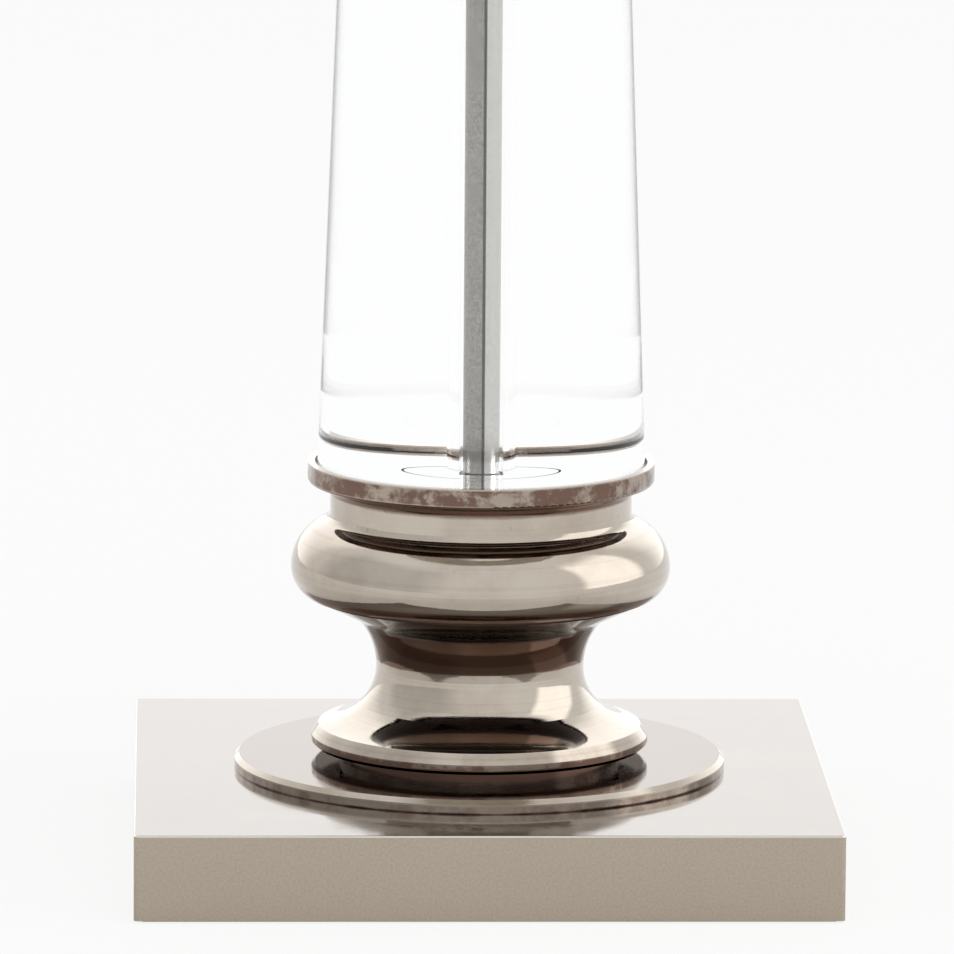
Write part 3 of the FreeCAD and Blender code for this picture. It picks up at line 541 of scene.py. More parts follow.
@dataclass(frozen=True)
class PlainMetal(Finish):
    """Drawn, stamped or plated metal with a fine grain.

    Attributes:
        shade: The tint in the grain's hollows.
        seam: The angle round the axis at which a rolled tube is closed, in radians.
        seam_half: Half the seam's width, in metres.
    """

    tint: Colour
    shade: Colour
    roughness: float
    grain: Grain = Grain.EVEN
    grain_scale: float = 1800.0
    relief: float = 0.00002
    seam: float | None = None
    seam_half: float = 0.00028
    seam_dark: Colour = (0.02, 0.02, 0.02)
    # Painted highlight: the lighter tint on one side of the seam.
    seam_side_highlight: Colour = (0.92, 0.91, 0.88)

    def _seamed(self, graph: Graph, place: Wire, colour: Wire) -> Wire:
        """Draw the seam: a dark line, and a painted highlight on the side beside it.

        Args:
            graph: The material's graph.
            place: The point, in the lamp's frame.
            colour: The metal's colour.

        Returns:
            The colour with the seam.
        """
        x, y, _ = graph.parts(place)
        across = y * math.cos(self.seam) - x * math.sin(self.seam)
        facing = (x * math.cos(self.seam) + y * math.sin(self.seam)).ramp(0.0, MM)
        closed = 1.0 - graph.math("ABSOLUTE", across).ramp(self.seam_half * 0.5, self.seam_half * 1.5)
        # Painted highlight: the metal on one side of the seam is lightened.
        painted_highlight = across.ramp(-self.seam_half, self.seam_half) * facing
        colour = graph.blend(0.45 * painted_highlight, colour, self.seam_side_highlight)
        return graph.blend(closed * facing * 0.9, colour, self.seam_dark)

    def _draw(self, graph: Graph) -> dict[str, Feed]:
        """Colour, roughness and relief of the metal."""
        place = graph.position()
        stretched = graph.wire("ShaderNodeMapping", None, {"Vector": place, "Scale": self.grain.value})
        grain = graph.noise(stretched, self.grain_scale, 3.0, 0.6)
        clouds = graph.noise(place, 70.0, 4.0, 0.6)
        colour = graph.blend(grain.ramp(0.35, 0.68) * 0.6 + clouds * 0.3, self.tint, self.shade)
        if self.seam is not None:
            colour = self._seamed(graph, place, colour)
        return {
            "Base Color": colour,
            "Metallic": 1.0,
            "Roughness": self.roughness + 0.12 * (grain - 0.5) + 0.08 * clouds,
            "Normal": graph.bump(grain, self.relief),
        }


@dataclass(frozen=True)
class Moulded(Finish):
    """Moulded or painted surface with faint mottling and orange peel."""

    tint: Colour
    shade: Colour
    roughness: float
    scale: float = 700.0
    relief: float = 0.00002
    coat: float = 0.0

    def _draw(self, graph: Graph) -> dict[str, Feed]:
        """Colour, roughness and relief of the surface."""
        place = graph.position()
        fine = graph.noise(place, self.scale, 3.0, 0.6)
        broad = graph.noise(place, self.scale / 12.0, 3.0, 0.6)
        return {
            "Base Color": graph.blend((fine * 0.5 + broad * 0.5).ramp(0.35, 0.7), self.tint, self.shade),
            "Roughness": self.roughness + 0.15 * (broad - 0.5),
            "Coat Weight": self.coat,
            "Normal": graph.bump(fine, self.relief),
        }


@dataclass(frozen=True)
class Linen(Finish):
    """Plain-woven linen with slubs, laid out by the piece's own map, which is in metres.

    Attributes:
        gap: The tint between the threads.
        threads: Threads a metre, each way.
        wobble: How far a thread strays, in metres.
        slub_stretch: How much longer than wide a slub is.
    """

    tint: Colour = (0.80, 0.765, 0.69)
    gap: Colour = (0.60, 0.56, 0.48)
    threads: float = 1250.0
    wobble: float = 0.0006
    slub_stretch: float = 40.0
    slub_scale: float = 22.0
    relief: float = 0.00009

    def _draw(self, graph: Graph) -> dict[str, Feed]:
        """Warp and weft as two sets of round threads that pass over each other in turn."""
        around, along, _ = graph.parts(graph.wire("ShaderNodeUVMap", {"uv_map": "cloth"}, None))
        wobble = self.wobble * graph.noise(graph.vector(around, along, 0.0), 60.0, 2.0)
        turn = FULL_TURN * self.threads / 2
        warp_place = (around + wobble) * turn
        weft_place = (along + wobble) * turn
        warp = graph.math("ABSOLUTE", graph.math("SINE", warp_place))
        weft = graph.math("ABSOLUTE", graph.math("SINE", weft_place))
        over = graph.math("SINE", warp_place) * graph.math("SINE", weft_place)
        warp_run = graph.vector(around * self.slub_stretch, along, 0.0)
        warp_slub = graph.noise(warp_run, self.slub_scale, 4.0, 0.7)
        weft_run = graph.vector(around, along * self.slub_stretch, 3.0)
        weft_slub = graph.noise(weft_run, self.slub_scale, 4.0, 0.7)
        on_top = over.ramp(-0.15, 0.15)
        thread = warp * on_top * (0.7 + 0.6 * warp_slub) + weft * (1.0 - on_top) * (0.7 + 0.6 * weft_slub)
        slub = (warp_slub * 0.5 + weft_slub * 0.5).ramp(0.38, 0.66)
        clouds = graph.noise(graph.position(), 9.0, 3.0)
        shown = (thread.ramp(0.05, 0.75) * 0.7 + 0.3 * slub) * (0.85 + 0.3 * clouds)
        return {
            "Base Color": graph.blend(shown.clipped(), self.gap, self.tint),
            "Roughness": 0.86,
            "Sheen Weight": 0.25,
            "Sheen Roughness": 0.4,
            "Normal": graph.bump(thread + slub * 0.5, self.relief, 0.8),
        }


@dataclass(frozen=True)
class Felted(Finish):
    """Pressed fibres: felt, fibre board or stiff paper."""

    tint: Colour
    shade: Colour
    scale: float = 900.0
    relief: float = 0.0003

    def _draw(self, graph: Graph) -> dict[str, Feed]:
        """Colour and relief of the fibres."""
        place = graph.position()
        bend = graph.noise(place, self.scale / 5.0, 2.0)
        bent = graph.wire("ShaderNodeVectorMath", {"operation": "ADD"}, {0: place, 1: bend})
        fibres = graph.noise(bent, self.scale, 5.0, 0.75)
        return {
            "Base Color": graph.blend(fibres.ramp(0.35, 0.65), self.tint, self.shade),
            "Roughness": 0.95,
            "Sheen Weight": 0.2,
            "Normal": graph.bump(fibres, self.relief, 0.7),
        }


# Meshes


def finish_mesh(name: str, mesh: bmesh.types.BMesh, smooth: bool = True) -> bpy.types.Object:
    """Turn a bmesh into an object at the origin.

    Args:
        name: The piece's name.
        mesh: The bmesh, which is freed.
        smooth: Whether faces are shaded smooth.

    Returns:
        The object.
    """
    data = bpy.data.meshes.new(name)
    mesh.to_mesh(data)
    mesh.free()
    for face in data.polygons:
        face.use_smooth = smooth
    piece = bpy.data.objects.new(name, data)
    bpy.context.scene.collection.objects.link(piece)
    return piece


def lathe(outline: Sequence[tuple[float, float]], steps: int) -> bmesh.types.BMesh:
    """Spin a closed outline about the upright axis.

    Args:
        outline: Corners as (radius, height), in metres.
        steps: Steps round the axis.

    Returns:
        The turned bmesh, with outward faces.
    """
    mesh = bmesh.new()
    corners = [mesh.verts.new((radius, 0.0, height)) for radius, height in outline]
    edges = [mesh.edges.new((one, two)) for one, two in zip(corners, corners[1:] + corners[:1])]
    bmesh.ops.spin(
        mesh,
        geom=corners + edges,
        cent=ORIGIN,
        axis=UP,
        angle=FULL_TURN,
        steps=steps,
        use_merge=True,
    )
    bmesh.ops.remove_doubles(mesh, verts=mesh.verts, dist=WELD)
    bmesh.ops.recalc_face_normals(mesh, faces=mesh.faces)
    return mesh


def thicken(piece: bpy.types.Object, wall: float, offset: float = -1.0) -> None:
    """Give an open mesh its wall.

    Args:
        piece: The piece.
        wall: The wall's thickness, in metres.
        offset: -1 to grow inwards only, and 0 to both sides.
    """
    solid = piece.modifiers.new("wall", "SOLIDIFY")
    solid.thickness = wall
    solid.offset = offset


def dress(material: bpy.types.Material, *nodes: str) -> None:
    """Give CAD nodes a material in place of their plain one.

    Args:
        material: The material.
        nodes: The nodes' names.
    """
    for name in nodes:
        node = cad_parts[name]
        node.data.materials.clear()
        node.data.materials.append(material)
        LOG.info("dressed %s in %s", name, material.name)


def add_piece(
    piece: bpy.types.Object, body: str, material: bpy.types.Material, slot: str, *stands_for: str
) -> bpy.types.Object:
    """Seat a new piece on its body.

    Args:
        piece: The piece.
        body: The body that it moves with.
        material: Its material.
        slot: Not used.
        stands_for: The CAD nodes that it replaces.

    Returns:
        The piece.
    """
    piece.data.materials.append(material)
    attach(piece, body)
    if stands_for:
        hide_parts(*stands_for)
    LOG.info("made %s: %d faces", piece.name, len(piece.data.polygons))
    return piece


# Sub-assemblies


@dataclass
class Plinth:
    """Square plinth, its board, weight, fastenings, cord bushing and felt."""

    felt_round: float = 0.35 * MM
    nickel: PlinthNickel = PlinthNickel("plinth_nickel")

    def build(self) -> None:
        """Dress the CAD nodes and make the felt."""
        dress(self.nickel.material(), "plinth")
        steel = PlainMetal("zinc_steel", (0.62, 0.62, 0.60), (0.48, 0.48, 0.46), 0.34)
        dress(steel.material(), "base_washer", "lock_washer", "base_nut", "set_screw", "switch_shaft")
        raw = PlainMetal("raw_steel", (0.22, 0.21, 0.20), (0.12, 0.11, 0.10), 0.55)
        dress(raw.material(), "ballast_plate")
        board = Felted("fibre_board", (0.30, 0.20, 0.12), (0.20, 0.13, 0.075), 500.0, 0.0001)
        dress(board.material(), "base_board")
        nylon = Moulded("black_nylon", (0.018, 0.018, 0.018), (0.03, 0.03, 0.03), 0.42)
        dress(nylon.material(), "cord_bushing")
        self._make_felt()

    def _make_felt(self) -> None:
        """A felt sheet with soft edges, in the place of the plain pad."""
        low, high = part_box("felt_pad")
        mesh = bmesh.new()
        bmesh.ops.create_cube(mesh, size=1.0)
        bmesh.ops.scale(mesh, vec=high - low, verts=mesh.verts)
        bmesh.ops.translate(mesh, vec=(high + low) / 2, verts=mesh.verts)
        bmesh.ops.bevel(
            mesh,
            geom=mesh.edges[:],
            offset=self.felt_round,
            segments=3,
            profile=0.5,
            affect="EDGES",
            material=-1,
        )
        piece = finish_mesh("felt_sheet", mesh)
        felt = Felted("black_felt", (0.012, 0.012, 0.013), (0.035, 0.035, 0.037))
        add_piece(piece, "lamp", felt.material(), "felt", "felt_pad")


@dataclass
class TurnedStack:
    """Turned nickel pieces below and above the glass.

    Attributes:
        pedestal_under: The pedestal's own values for under, the span of its painted underside shade.
        cove_shade: How dark the painted shade in its upper cove is.
        cup_rim: Height of the cup's rim, in metres.
        disc_top: The tint of the foot disc's polished top, darker than its edge: painted shade.
    """

    plate: AgedNickel = AgedNickel("turned_nickel")
    pedestal_under: Span = (-0.70, -0.36)
    cove_shade: float = 1.0
    cup_rim: float = 5.3 * MM
    disc_top: Colour = (0.17, 0.135, 0.11)

    def build(self) -> None:
        """Dress each turned node, its bands of painted shade and its darker rings set by the node's own
        height.
        """
        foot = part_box("pedestal")[0].z
        cup_low, cup_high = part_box("glass_cup")
        disc_low, disc_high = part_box("foot_disc")
        # Painted shade: a dark line at the pedestal's foot and its upper cove darkened, black at the
        # cove's top; rings of wear and painted shade near its foot.
        pedestal = replace(
            self.plate,
            name="pedestal_nickel",
            under=self.pedestal_under,
            bands=bands_above(foot, (-1.0, 1.2, 0.9), (22.9, 40.2, self.cove_shade), (32.6, 40.2, 0.9)),
            wear_and_shade_rings=bands_above(foot, (1.0, 2.5, 1.5), (2.5, 5.2, 0.22)),
        )
        neck_top = cup_high.z - self.cup_rim
        # Painted shade in the recess just below the cup's rim; the rim is a ring of wear and painted
        # shade.
        cup = replace(
            self.plate,
            name="cup_nickel",
            bands=bands_above(neck_top, (-3.2, 0.1, 0.5), (-0.8, 0.1, 1.0)),
            wear_and_shade_rings=(Band(neck_top + 0.8 * MM, cup_high.z - 0.35 * MM, 1.15),),
        )
        # Painted shade: a black line along the disc's lower edge, and a darker polished top.
        disc = replace(
            self.plate,
            name="disc_nickel",
            flat_top=self.disc_top,
            bands=bands_above(disc_low.z, (-1.0, 0.25, 2.0)),
            wear_and_shade_rings=(Band(disc_low.z, disc_high.z - 1.6 * MM, 0.6),),
        )
        # Painted shade: a dark line where the ring sits on the disc, and a ring of wear and painted shade
        # above it.
        ring = replace(
            self.plate,
            name="ring_nickel",
            bands=bands_above(disc_high.z, (-1.0, 1.0, 1.2)),
            wear_and_shade_rings=bands_above(disc_high.z, (0.0, 5.0, 0.8)),
        )
        finishes = {"pedestal": pedestal, "glass_cup": cup, "foot_disc": disc, "foot_ring": ring}
        for node, finish in finishes.items():
            dress(finish.material(), node)
        dress(self.plate.material(), "upper_cup", "capital", "neck_collar", "check_ring")


@dataclass
class Column:
    """Glass column, its gaskets and the tube inside.

    Attributes:
        gasket_gap: How far a gasket's face is sunk, as a share of its thickness.
        gasket_lip: Width of the lip that touches the glass, in metres.
        lip_share: How much of the lip's width is level with the glass.
    """

    gasket_gap: float = 0.2
    gasket_lip: float = 0.7 * MM
    lip_share: float = 0.6
    gasket_steps: int = 160
    seam: float = math.radians(-88.0)

    def build(self) -> None:
        """Dress the nodes."""
        dress(ClearGlass("column_glass").material(), "glass_column")
        gasket = Moulded("clear_gasket", (0.80, 0.81, 0.80), (0.72, 0.73, 0.72), 0.4).material()
        self._make_gasket("lower_gasket", "lower_gasket_ring", gasket)
        self._make_gasket("upper_gasket", "upper_gasket_ring", gasket)
        tube = PlainMetal(
            "tube_steel",
            (0.40, 0.385, 0.36),
            (0.17, 0.163, 0.152),
            0.20,
            grain_scale=2200.0,
            seam=self.seam,
        )
        dress(tube.material(), "centre_tube")

    def _make_gasket(self, node: str, name: str, material: bpy.types.Material) -> None:
        """A thin clear ring that touches the glass only along a lip at its hole.

        Args:
            node: The CAD node that it stands for.
            name: The piece's name.
            material: Its material.
        """
        low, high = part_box(node)
        outer = high.x
        hole = min(math.hypot(vertex.co.x, vertex.co.y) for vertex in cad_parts[node].data.vertices)
        lower = node == "lower_gasket"
        glass_side, other = (high.z, low.z) if lower else (low.z, high.z)
        sunk = glass_side + (other - glass_side) * self.gasket_gap
        outline = [
            (hole, other),
            (outer, other),
            (outer, sunk),
            (hole + self.gasket_lip, sunk),
            (hole + self.gasket_lip * self.lip_share, glass_side),
            (hole, glass_side),
        ]
        piece = finish_mesh(name, lathe(outline, self.gasket_steps), smooth=False)
        add_piece(piece, "lamp", material, "clear_gasket", node)


@dataclass
class Lampholder:
    """Lampholder with its turn knob; the rolled thread of its screw shell is a piece of its own."""

    thread_pitch: float = 3.63 * MM
    thread_depth: float = 0.85 * MM
    thread_points: int = 8
    thread_steps: int = 60
    thread_weld: float = 1e-6
    wall: float = 0.3 * MM

    def build(self) -> None:
        """Dress the nodes and make the screw shell's thread."""
        nickel = AgedNickel("holder_nickel", polish=0.10)
        dress(nickel.material(), "socket_cap", "socket_shell")
        phenolic = Moulded("black_phenolic", (0.012, 0.011, 0.010), (0.022, 0.020, 0.018), 0.22, coat=0.3)
        dress(phenolic.material(), "socket_insulator", "switch_knob")
        paper = Felted("sleeve_paper", (0.36, 0.27, 0.17), (0.26, 0.19, 0.115), 700.0, 0.00005)
        dress(paper.material(), "insulating_sleeve")
        brass = PlainMetal("contact_brass", (0.80, 0.60, 0.30), (0.66, 0.47, 0.21), 0.24)
        brass_material = brass.material()
        dress(brass_material, "centre_contact", "terminal_screws")
        self._make_screw_shell(brass_material)

    def _make_screw_shell(self, brass: bpy.types.Material) -> None:
        """Sweep one wave of the thread round and up the shell, then trim both ends flat.

        Args:
            brass: The shell's material.
        """
        low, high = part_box("screw_shell")
        outer = (high.x - low.x) / 2
        turns = math.ceil((high.z - low.z) / self.thread_pitch) + 2
        mesh = bmesh.new()
        start = low.z - self.thread_pitch
        corners = []
        for index in range(self.thread_points + 1):
            share = index / self.thread_points
            dip = self.thread_depth * 0.5 * (1 - math.cos(FULL_TURN * share))
            corners.append(mesh.verts.new((outer - dip, 0.0, start + share * self.thread_pitch)))
        edges = [mesh.edges.new(pair) for pair in zip(corners, corners[1:])]
        steps = self.thread_steps * turns
        rise = self.thread_pitch / self.thread_steps
        bmesh.ops.spin(
            mesh,
            geom=corners + edges,
            cent=ORIGIN,
            axis=UP,
            dvec=(0.0, 0.0, rise),
            angle=FULL_TURN * turns,
            steps=steps,
            use_merge=False,
        )
        bmesh.ops.remove_doubles(mesh, verts=mesh.verts, dist=self.thread_weld)
        for level, away in ((low.z, -1.0), (high.z, 1.0)):
            bmesh.ops.bisect_plane(
                mesh,
                geom=mesh.verts[:] + mesh.edges[:] + mesh.faces[:],
                plane_co=(0.0, 0.0, level),
                plane_no=(0.0, 0.0, away),
                clear_outer=True,
            )
        bmesh.ops.recalc_face_normals(mesh, faces=mesh.faces)
        piece = finish_mesh("screw_shell_thread", mesh)
        thicken(piece, self.wall)
        add_piece(piece, "lamp", brass, "brass_contact", "screw_shell")


@dataclass
class Harp:
    """Detachable harp, its saddle, ferrules and stud, and the finial."""

    def build(self) -> None:
        """Dress the nodes."""
        wire = PlainMetal("nickel_wire", (0.66, 0.62, 0.56), (0.54, 0.50, 0.44), 0.20)
        dress(wire.material(), "harp_saddle", "harp", "ferrule_right", "ferrule_left")
        stud = PlainMetal("plated_stud", (0.72, 0.62, 0.42), (0.60, 0.50, 0.32), 0.28, Grain.ROUND)
        dress(stud.material(), "harp_stud")
        dress(AgedNickel("finial_nickel").material(), "finial")


@dataclass
class Shade:
    """Tapered linen shade: cloth with a lapped seam, bound edges, rings and spider.

    Attributes:
        binding_taper: How far back the tape's outer edge is pressed thin, in metres.
        fold_start: How far from the cloth's edge the tape's fold starts.
        fold_inner: The same for the fold's inner side.
        fold_top: The same for the fold's flat.
        fold_share: How thick the tape is at the flat.
        seam_lift: How far the lapped end stands out.
    """

    segments: int = 240
    rows: int = 30
    cloth_wall: float = 0.7 * MM
    binding_wall: float = 0.55 * MM
    binding_inside: float = 7.0 * MM
    binding_clear: float = 0.05 * MM
    binding_taper: float = 0.2 * MM
    fold_start: float = 0.5 * MM
    fold_inner: float = 0.35 * MM
    fold_top: float = 0.1 * MM
    fold_share: float = 0.6
    seam_width: float = 11.0 * MM
    seam_wall: float = 0.3 * MM
    seam_lift: float = 0.28 * MM
    seam_angle: float = math.radians(118.0)
    linen: Linen = Linen("shade_linen_weave")
    tape: Linen = Linen(
        "shade_tape_weave", tint=(0.79, 0.755, 0.68), gap=(0.62, 0.58, 0.50), threads=1700.0
    )

    def build(self) -> None:
        """Dress the wires and make the cloth and its bindings."""
        white = Moulded("white_enamel", (0.72, 0.71, 0.67), (0.62, 0.61, 0.57), 0.32, coat=0.4)
        dress(white.material(), "shade_fitter", "shade_bottom_ring")
        low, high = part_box("shade_cloth")
        self.level = low.z
        self.height = high.z - low.z
        self.bottom = high.x
        self.top = self._top_radius()
        cloth_material = self.linen.material()
        tape_material = self.tape.material()
        cloth = self._make_cloth(cloth_material)
        seam = self._make_seam(cloth_material)
        hems = [
            self._make_binding("top_binding", "shade_top_trim", tape_material),
            self._make_binding("bottom_binding", "shade_bottom_trim", tape_material),
        ]

    def _top_radius(self) -> float:
        """The cloth's outer radius at its upper edge, read from the frame's own node."""
        corners = [vertex.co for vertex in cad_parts["shade_cloth"].data.vertices]
        top = max(corner.z for corner in corners)
        return max(math.hypot(corner.x, corner.y) for corner in corners if corner.z > top - MM)

    def _radius_at(self, height: float) -> float:
        """The cloth's outer radius at a height above its lower edge."""
        return self.bottom + (self.top - self.bottom) * height / self.height

    def _map_cloth(self, mesh: bmesh.types.BMesh, turned: bool = False) -> None:
        """Lay out a map in metres: round the shade at its mean radius, and up its slope.

        Args:
            mesh: The cloth's bmesh.
            turned: Whether the threads run on the bias, as in a tape.
        """
        layer = mesh.loops.layers.uv.new("cloth")
        mean = (self.bottom + self.top) / 2
        for face in mesh.faces:
            middle = face.calc_center_median()
            facing = math.atan2(middle.y, middle.x)
            for loop in face.loops:
                angle = math.atan2(loop.vert.co.y, loop.vert.co.x)
                while angle - facing > math.pi:
                    angle -= FULL_TURN
                while angle - facing < -math.pi:
                    angle += FULL_TURN
                across, up = angle * mean, loop.vert.co.z
                if turned:
                    across, up = (across + up) * BIAS_SINE, (across - up) * BIAS_SINE
                loop[layer].uv = (across, up)

    def _make_cloth(self, material: bpy.types.Material) -> bpy.types.Object:
        """The cloth as one tapered wall, closed at both edges.

        Args:
            material: The cloth's material.

        Returns:
            The piece.
        """
        mesh = bmesh.new()
        bmesh.ops.create_cone(
            mesh,
            cap_ends=False,
            segments=self.segments,
            radius1=self.bottom,
            radius2=self.top,
            depth=self.height,
        )
        bmesh.ops.translate(mesh, vec=(0.0, 0.0, self.level + self.height / 2), verts=mesh.verts)
        upright = [edge for edge in mesh.edges if abs(edge.verts[0].co.z - edge.verts[1].co.z) > MM]
        bmesh.ops.subdivide_edges(mesh, edges=upright, cuts=self.rows - 1, use_grid_fill=True)
        self._map_cloth(mesh)
        piece = finish_mesh("shade_linen_cloth", mesh)
        thicken(piece, self.cloth_wall)
        return add_piece(piece, "shade", material, "shade_linen", "shade_cloth")

    def _make_seam(self, material: bpy.types.Material) -> bpy.types.Object:
        """The lapped end of the cloth, a narrow strip that stands a little proud behind.

        Args:
            material: The cloth's material.

        Returns:
            The piece.
        """
        mesh = bmesh.new()
        bmesh.ops.create_grid(mesh, x_segments=6, y_segments=self.rows, size=0.5)
        for vertex in mesh.verts:
            height = (vertex.co.y + 0.5) * self.height
            radius = self._radius_at(height) + self.seam_lift
            angle = self.seam_angle + vertex.co.x * self.seam_width / radius
            vertex.co = (radius * math.cos(angle), radius * math.sin(angle), self.level + height)
        bmesh.ops.recalc_face_normals(mesh, faces=mesh.faces)
        self._map_cloth(mesh)
        piece = finish_mesh("shade_lapped_seam", mesh)
        thicken(piece, self.seam_wall, offset=0.0)
        return add_piece(piece, "shade", material, "shade_linen")

    def _make_binding(self, name: str, node: str, material: bpy.types.Material) -> bpy.types.Object:
        """A tape folded over one edge of the cloth.

        Args:
            name: The piece's name.
            node: The CAD node that it stands for.
            material: The tape's material.

        Returns:
            The piece.
        """
        low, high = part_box(node)
        at_top = high.z > self.level + self.height - MM
        edge = self.height if at_top else 0.0
        way = -1.0 if at_top else 1.0
        far = edge + way * (high.z - low.z)
        near = edge + way * self.binding_inside
        wall, flat_wall = self.binding_wall, self.binding_wall * self.fold_share
        inner = self.cloth_wall + self.binding_clear
        steps = (self.fold_start, self.fold_inner, self.fold_top)
        start, turn, flat = (edge + way * step for step in steps)
        at_edge, at_far, at_near = (self._radius_at(height) for height in (edge, far, near))
        outline = [
            (at_far + self.binding_clear, far),
            (at_far + wall, far - way * self.binding_taper),
            (at_edge + wall, start),
            (at_edge + flat_wall, flat),
            (at_edge - self.cloth_wall - flat_wall, flat),
            (at_edge - self.cloth_wall - wall, start),
            (at_near - inner - wall, near),
            (at_near - inner, near),
            (at_edge - inner, turn),
            (at_edge + self.binding_clear, turn),
        ]
        mesh = lathe([(radius, self.level + height) for radius, height in outline], self.segments)
        self._map_cloth(mesh, turned=True)
        piece = finish_mesh(name, mesh)
        return add_piece(piece, "shade", material, "shade_tape", node)


# Studio


class SoftBox(NamedTuple):
    """A rectangular lamp: its place, width and height in metres, and its power in watts."""

    name: str
    place: tuple[float, float, float]
    wide: float
    high: float
    power: float


SOFT_BOXES = (
    SoftBox("right_box", (2.2, -1.3, 0.75), 0.9, 0.9, 14.0),
    SoftBox("left_box", (-2.4, -0.9, 0.9), 0.7, 0.9, 6.0),
    SoftBox("top_box", (0.5, -0.4, 2.6), 1.6, 1.6, 14.0),
)


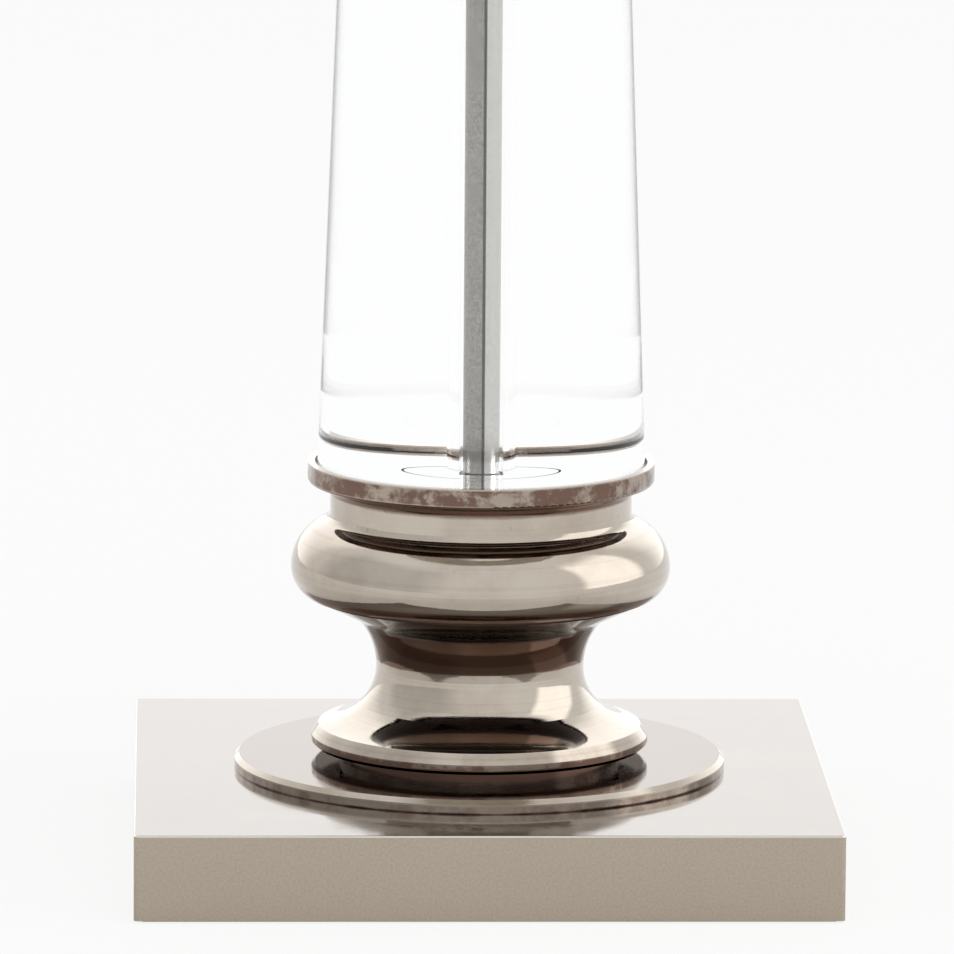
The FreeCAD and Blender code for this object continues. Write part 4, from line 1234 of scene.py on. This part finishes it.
@dataclass
class Studio:
    """Pale floor, soft light and the camera at the photograph's viewpoint.

    A span is where a soft step starts and ends: in metres for floor_shadow_span, and otherwise along the
    part of a direction that points to the right, upwards or away from the camera.

    Attributes:
        floor_white: How white the camera sees the floor; the rest is its lit paper.
        floor_near: How white a reflection sees it close to the lamp, where a shadow is painted for
            reflections.
        floor_gain: What the distance adds to that.
        floor_shift: How far in front of the lamp the distance is measured from, in metres.
        matt_level: The studio's light on matt surfaces; the levels after it hold for reflections.
    """

    frame_px: float = 954.0
    focal_px: float = 9444.94
    sensor: float = 36.0
    eye: tuple[float, float, float] = (-0.08222, -2.42158, 0.51643)
    yaw: float = 0.0335
    pitch: float = 0.1706
    roll: float = 0.0070
    view_end: float = 100.0
    aim: tuple[float, float, float] = (0.0, 0.0, 0.15)
    floor_half: float = 30.0
    floor_tint: Colour = (0.80, 0.79, 0.78)
    floor_white: float = 0.86
    floor_near: float = 0.06
    floor_gain: float = 0.88
    floor_shadow_span: Span = (0.12, 0.34)
    floor_shift: float = 0.12
    matt_level: float = 0.8
    front: float = 1.0
    right_panel: float = 0.95
    left_dip: float = 0.25
    back_glow: float = 0.72
    dark_above: float = 0.6
    panel_edge: float = 0.91
    panel_soft: float = 0.03
    panel_foot: Span = (-0.30, -0.20)
    ceiling: Span = (0.68, 0.84)
    left_side: Span = (0.35, 0.75)
    left_back: Span = (0.2, 0.6)
    back_side: Span = (0.6, 0.92)
    overhead: Span = (0.90, 0.995)
    overhead_right: Span = (-0.15, 0.0)

    def build(self) -> None:
        """Make the camera, floor, lamps and world."""
        self._make_camera()
        self._make_floor()
        self._make_lamps()
        self._make_world()

    def _make_camera(self) -> None:
        """The camera: turned by its yaw, tipped down by its pitch, then rolled."""
        data = bpy.data.cameras.new("camera")
        data.sensor_width = self.sensor
        data.lens = self.focal_px / self.frame_px * self.sensor
        data.clip_end = self.view_end
        camera = bpy.data.objects.new("camera", data)
        turn = Matrix.Rotation(-self.yaw, 4, "Z")
        tip = Matrix.Rotation(math.pi / 2 - self.pitch, 4, "X")
        twist = Matrix.Rotation(self.roll, 4, "Z")
        camera.matrix_world = Matrix.Translation(self.eye) @ turn @ tip @ twist
        bpy.context.scene.collection.objects.link(camera)
        bpy.context.scene.camera = camera
        LOG.info("camera at %s, lens %.1f mm", self.eye, data.lens)

    def _make_floor(self) -> None:
        """A pale floor that a camera sees as white, with the lamp's soft shadow kept on it."""
        mesh = bmesh.new()
        bmesh.ops.create_grid(mesh, x_segments=1, y_segments=1, size=self.floor_half)
        floor = finish_mesh("floor", mesh, smooth=False)
        floor.data.materials.append(new_material("floor_paper", self._draw_floor))

    def _draw_floor(self, graph: Graph) -> Wire:
        """Paper that is white to the camera, and grey in reflections close to the lamp: a painted shadow.

        Args:
            graph: The material's graph.

        Returns:
            The surface shader.
        """
        seen, glossy = ray_kinds(graph)
        paper = graph.wire("ShaderNodeBsdfDiffuse", None, {"Color": rgba(self.floor_tint)})
        white = graph.wire("ShaderNodeEmission", None, {"Color": rgba(WHITE), "Strength": 1.0})
        x, y, _ = graph.parts(graph.position())
        # Painted shadow, for reflections only: the floor is grey close to the lamp and white further off.
        reach = graph.math("SQRT", x * x + (y + self.floor_shift) * (y + self.floor_shift))
        mirrored = self.floor_near + self.floor_gain * reach.ramp(*self.floor_shadow_span)
        share = (seen * self.floor_white + glossy * mirrored).clipped()
        return graph.wire("ShaderNodeMixShader", None, {0: share, 1: paper, 2: white})

    def _make_lamps(self) -> None:
        """Soft boxes: a large one at the right, a weaker one at the left and one overhead."""
        for box in SOFT_BOXES:
            data = bpy.data.lights.new(box.name, "AREA")
            data.shape = "RECTANGLE"
            data.size = box.wide
            data.size_y = box.high
            data.energy = box.power
            lamp = bpy.data.objects.new(box.name, data)
            lamp.visible_glossy = False
            lamp.location = box.place
            sight = Vector(self.aim) - Vector(box.place)
            lamp.rotation_euler = sight.to_track_quat("-Z", "Y").to_euler()
            bpy.context.scene.collection.objects.link(lamp)

    def _make_world(self) -> None:
        """White to the camera and through glass, and a soft studio to every other ray."""
        world = bpy.data.worlds.new("studio")
        bpy.context.scene.world = world
        world.use_nodes = True
        graph = Graph(world.node_tree)
        seen, glossy = ray_kinds(graph)
        x, y, z = graph.parts(graph.wire("ShaderNodeTexCoord", None, None, "Generated"))
        level_run = graph.math("SQRT", x * x + y * y) + 0.0001
        across, away = x / level_run, y / level_run
        low_enough = 1.0 - z.ramp(*self.ceiling)
        panel = across.ramp(self.panel_edge - self.panel_soft, self.panel_edge + self.panel_soft)
        right = panel * z.ramp(*self.panel_foot) * low_enough
        left = (0.0 - across).ramp(*self.left_side) * (1.0 - away.ramp(*self.left_back)) * low_enough
        behind = away.ramp(*self.back_side) * low_enough
        above = z.ramp(*self.overhead) * (1.0 - x.ramp(*self.overhead_right))
        gains = self.right_panel * right - self.left_dip * left + self.back_glow * behind
        level = self.front + gains - self.dark_above * above
        strength = self.matt_level + glossy * (level - self.matt_level)
        final = strength + seen * (1.0 - strength)
        light = graph.wire("ShaderNodeBackground", None, {"Color": rgba(WHITE), "Strength": final})
        graph.node("ShaderNodeOutputWorld", None, {"Surface": light})


def main() -> None:
    """Build the lamp's looks, one sub-assembly after another, and the studio round it."""
    logging.basicConfig(level=logging.INFO, format="%(message)s")
    bpy.context.scene.view_settings.view_transform = "Standard"
    for assembly in (Studio(), Plinth(), TurnedStack(), Column(), Lampholder(), Harp(), Shade()):
        assembly.build()


if __name__ == "__main__":
    main()
